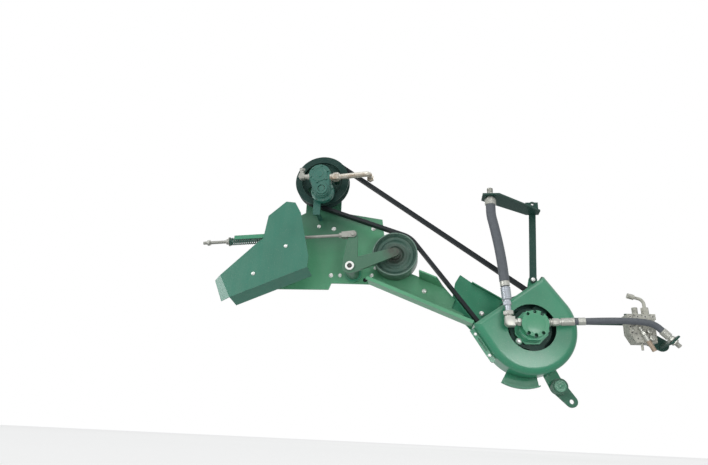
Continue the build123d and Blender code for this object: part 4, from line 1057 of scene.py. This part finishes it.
class DRIVE_OT_valve_trim(Operator):
    """Plugs, dark discs painted as the shade in the valve's holes, and drain tube of the valve block"""

    bl_idname = "drive.valve_trim"
    bl_label = "Valve trim"

    def execute(self, context):
        x0, z0 = VALVE
        bar_holes = [spot(x0 + 1.5 + x, VALVE_BAR_Z, VALVE_OUT + 2) for x in (-36, -12, 12, 36)]
        cartridges = ((21, 0), (26, -24))
        bm = bmesh.new()
        # Columns: right of the block's middle, above it, radius
        for x, z, r in ((-29, 22, 5), (-31, 2, 4), (-10, -24, 5), (6, 25, 4.5), (34, 22, 5)):
            well = 0.6 * r
            turned(bm, spot(x0 + x, z0 + z, VALVE_OUT), OUTWARDS, [
                (0, -1), (r, -1), (r, 1), (r - 0.6, 1.6), (well, 1.6), (well, 0.2), (0, 0.2)], 20)
        for place in bar_holes:
            turned(bm, place, OUTWARDS, [(2.6, -1), (5, -1), (5, 0.7), (2.6, 0.7)], 20)
        for x, z in cartridges:
            turned(bm, spot(x0 + x, z0 + z, VALVE_OUT + 8), OUTWARDS, [
                (4.5, -1), (9, -1), (9, 1.4), (8, 2), (5.5, 2), (4.5, 1)], 28)
        finished("valve_plugs", bm, "zinc_steel")
        # Columns: right of the block's middle, above it, radius
        recesses = (
            (-37, 14, 2.6), (-22, 20, 2.2), (-34, -6, 3.0), (-18, -26, 2.4), (8, -30, 2.4),
            *((x, z, 4.4) for x, z in cartridges), (38, 12, 2.4), (-6, 30, 2.0),
        )
        # Painted shade: dark discs at the valve's holes and bar holes, standing in for the shade inside them
        bm = bmesh.new()
        for x, z, r in recesses:
            turned(bm, spot(x0 + x, z0 + z, VALVE_OUT), OUTWARDS, disc(r, -1, 0.5), 18)
        for place in bar_holes:
            turned(bm, place, OUTWARDS, disc(2.7, -1, 0.3), 18)
        finished("valve_recesses", bm, "valve_metal", finish="recess_shade_steel")
        fall = (0.43, 0, -0.9)
        bm = bmesh.new()
        end = fitting(bm, spot(x0 - 11, z0 + 12, VALVE_OUT + 5), fall, [
            ("neck", 5.5, 17), ("nut", 8.8, 14), ("collar", 8.4, 20)])
        finished("drain_fitting", bm, "zinc_steel")
        bm = bmesh.new()
        fitting(bm, along(end, fall, -1), fall, [("neck", 7.5, 38)])
        finished("drain_tube", bm, "yellow_zinc", finish="aged_brass")
        return {"FINISHED"}


class DRIVE_OT_leg_trim(Operator):
    """Rings and bolt on the capped boss of the lower leg"""

    bl_idname = "drive.leg_trim"
    bl_label = "Leg boss"

    def execute(self, context):
        place = spot(*LEG_BOSS, BOSS_OUT)
        bm = bmesh.new()
        turned(bm, place, OUTWARDS, [
            (0, -2), (20, -2), (20, 0.6), (19, 1.6), (15, 1.6),
            (14, 0.4), (9.5, 0.4), (8.5, 2.2), (0, 2.2)], 48)
        hexagon(bm, along(place, OUTWARDS, 1.6), OUTWARDS, 6.5, 3, bevel=0.6)
        finished("boss_cap", bm, "green_paint")
        return {"FINISHED"}


class DRIVE_OT_welds(Operator):
    """Weld beads where the beam and the spring's anchor join their plates"""

    bl_idname = "drive.welds"
    bl_label = "Welds"

    def execute(self, context):
        bead_out = PLATE_OUT + 1

        def on_beam(reach, height):
            """Point from how far down the beam it is and how far above its lower edge"""
            x = BEAM_FOOT[0] + reach * cos(BEAM_FALL) + height * sin(BEAM_FALL)
            z = BEAM_FOOT[1] - reach * sin(BEAM_FALL) + height * cos(BEAM_FALL)
            return spot(x, z, bead_out)

        bm = bmesh.new()
        weld(bm, on_beam(1, 8), on_beam(1, 100))
        weld(bm, on_beam(389, 9), on_beam(405, 8))
        weld(bm, spot(ANCHOR_EDGE, 8, bead_out), spot(ANCHOR_EDGE, 42, bead_out))
        finished("weld_beads", bm, "green_paint")
        return {"FINISHED"}


class DRIVE_OT_stage(Operator):
    """Floor, lamps, even light and camera"""

    bl_idname = "drive.stage"
    bl_label = "Stage"

    def execute(self, context):
        scene = context.scene
        stage = scene.drive_stage
        floor = self.floor(scene, stage)
        self.lamps(scene, stage, floor)
        self.world(scene, stage)
        self.camera(scene, stage)
        scene.view_settings.view_transform = "Standard"
        return {"FINISHED"}

    def floor(self, scene, stage):
        """Pale floor under the drive"""
        bm = bmesh.new()
        bmesh.ops.create_grid(bm, x_segments=1, y_segments=1, size=6)
        bmesh.ops.translate(bm, verts=bm.verts, vec=(0.3, 0, stage.floor_height))
        mesh = bpy.data.meshes.new("floor")
        bm.to_mesh(mesh)
        bm.free()
        floor = bpy.data.objects.new("floor", mesh)
        scene.collection.objects.link(floor)
        finish = Finish("floor_paint")
        cloud = finish.noise(0.6, 3)
        pale = finish.mix(cloud.held(0.3, 0.7) * 0.3, tuple(stage.floor), shade(stage.floor, 0.96))
        mesh.materials.append(finish.surface(pale, 0.85, glow=stage.floor_glow))
        return floor

    def lamps(self, scene, stage, floor):
        """Four soft lamps; the two near the floor leave it out, so that no pool of light lies on it"""
        without_floor = bpy.data.collections.new("all_but_the_floor")
        without_floor.objects.link(floor)
        without_floor.collection_objects[0].light_linking.link_state = "EXCLUDE"
        # Columns: name, watts, width in metres, place, aim, whether it lights the floor
        lamps = (
            ("key", stage.key, 1.6, (0.5, -2.5, 2.3), (0.4, 0, -0.1), True),
            ("left", stage.left, 1.0, (-1.90, -1.50, 0.10), (-0.4, -0.1, -0.1), False),
            ("low", stage.low, 0.4, (0.88, -1.75, -0.36), (0.66, -0.1, -0.38), False),
            ("back", stage.back, 1.5, (0.6, 2.2, 1.4), (0.2, 0, 0), True),
        )
        for name, watts, width, place, aim, lights_floor in lamps:
            data = bpy.data.lights.new(name, "AREA")
            data.energy = watts
            data.size = width
            lamp = bpy.data.objects.new(name, data)
            lamp.location = place
            lamp.rotation_euler = (Vector(aim) - Vector(place)).to_track_quat("-Z", "Y").to_euler()
            scene.collection.objects.link(lamp)
            if not lights_floor:
                lamp.light_linking.receiver_collection = without_floor

    def world(self, scene, stage):
        """Even light on the drive, and white where a camera, mirror or glass ray goes past it"""
        scene.world = bpy.data.worlds.new("studio")
        nodes = Nodes(scene.world)
        camera_ray = nodes.node("ShaderNodeLightPath", out="Is Camera Ray")
        shows = camera_ray | camera_ray.other("Is Transmission Ray") | camera_ray.other("Is Glossy Ray")
        sky = {"Color": (*stage.sky_colour, 1), "Strength": stage.sky}
        even = nodes.node("ShaderNodeBackground", None, sky)
        white = nodes.node("ShaderNodeBackground", None, {"Color": (1, 1, 1, 1), "Strength": 1.0})
        choice = nodes.node("ShaderNodeMixShader", None, {0: shows, 1: even, 2: white})
        nodes.node("ShaderNodeOutputWorld", None, {"Surface": choice})

    def camera(self, scene, stage):
        """Camera near the floor, looking up at the drive"""
        yaw, pitch, roll = stage.yaw, stage.pitch, stage.roll
        ahead = Vector((-sin(yaw) * cos(pitch), cos(yaw) * cos(pitch), sin(pitch)))
        level = Vector((cos(yaw), sin(yaw), 0))
        upward = level.cross(ahead)
        right = level * cos(roll) + upward * sin(roll)
        up = upward * cos(roll) - level * sin(roll)
        data = bpy.data.cameras.new("camera")
        data.lens = stage.lens
        data.sensor_width = 36
        camera = bpy.data.objects.new("camera", data)
        turn = Matrix((right, up, -ahead)).transposed().to_4x4()
        camera.matrix_world = Matrix.Translation(stage.camera_place) @ turn
        scene.collection.objects.link(camera)
        scene.camera = camera


OPERATORS = (
    DRIVE_OT_finishes, DRIVE_OT_plate_bolts, DRIVE_OT_guard_bolts, DRIVE_OT_motor_trim,
    DRIVE_OT_elbow_fitting, DRIVE_OT_side_fitting, DRIVE_OT_idler_pressing, DRIVE_OT_arm_trim,
    DRIVE_OT_spring, DRIVE_OT_rod_trim, DRIVE_OT_cover_bolts, DRIVE_OT_unit_trim, DRIVE_OT_valve_trim,
    DRIVE_OT_leg_trim, DRIVE_OT_welds, DRIVE_OT_stage,
)
SETTINGS = {
    "drive_paint": PaintSettings, "drive_metal": MetalSettings, "drive_rubber": RubberSettings,
    "drive_fasteners": FastenerSettings, "drive_spring": SpringSettings, "drive_stage": StageSettings,
}


class DRIVE_PT_panel(Panel):
    """Lists the settings and the pieces"""

    bl_idname = "DRIVE_PT_panel"
    bl_label = "Belt Drive"
    bl_space_type = "VIEW_3D"
    bl_region_type = "UI"
    bl_category = "Belt Drive"

    def draw(self, context):
        for name, group in SETTINGS.items():
            box = self.layout.box()
            box.label(text=group.__doc__)
            for setting in group.__annotations__:
                box.prop(getattr(context.scene, name), setting)
        for operator in OPERATORS:
            self.layout.operator(operator.bl_idname)


CLASSES = (*SETTINGS.values(), *OPERATORS, DRIVE_PT_panel)


def register():
    for cls in CLASSES:
        bpy.utils.register_class(cls)
    for name, group in SETTINGS.items():
        setattr(bpy.types.Scene, name, PointerProperty(type=group))


def unregister():
    for name in SETTINGS:
        delattr(bpy.types.Scene, name)
    for cls in reversed(CLASSES):
        bpy.utils.unregister_class(cls)


def main():
    register()
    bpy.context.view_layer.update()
    for operator in OPERATORS:
        getattr(bpy.ops.drive, operator.bl_idname.split(".")[1])()


if __name__ == "__main__":
    main()
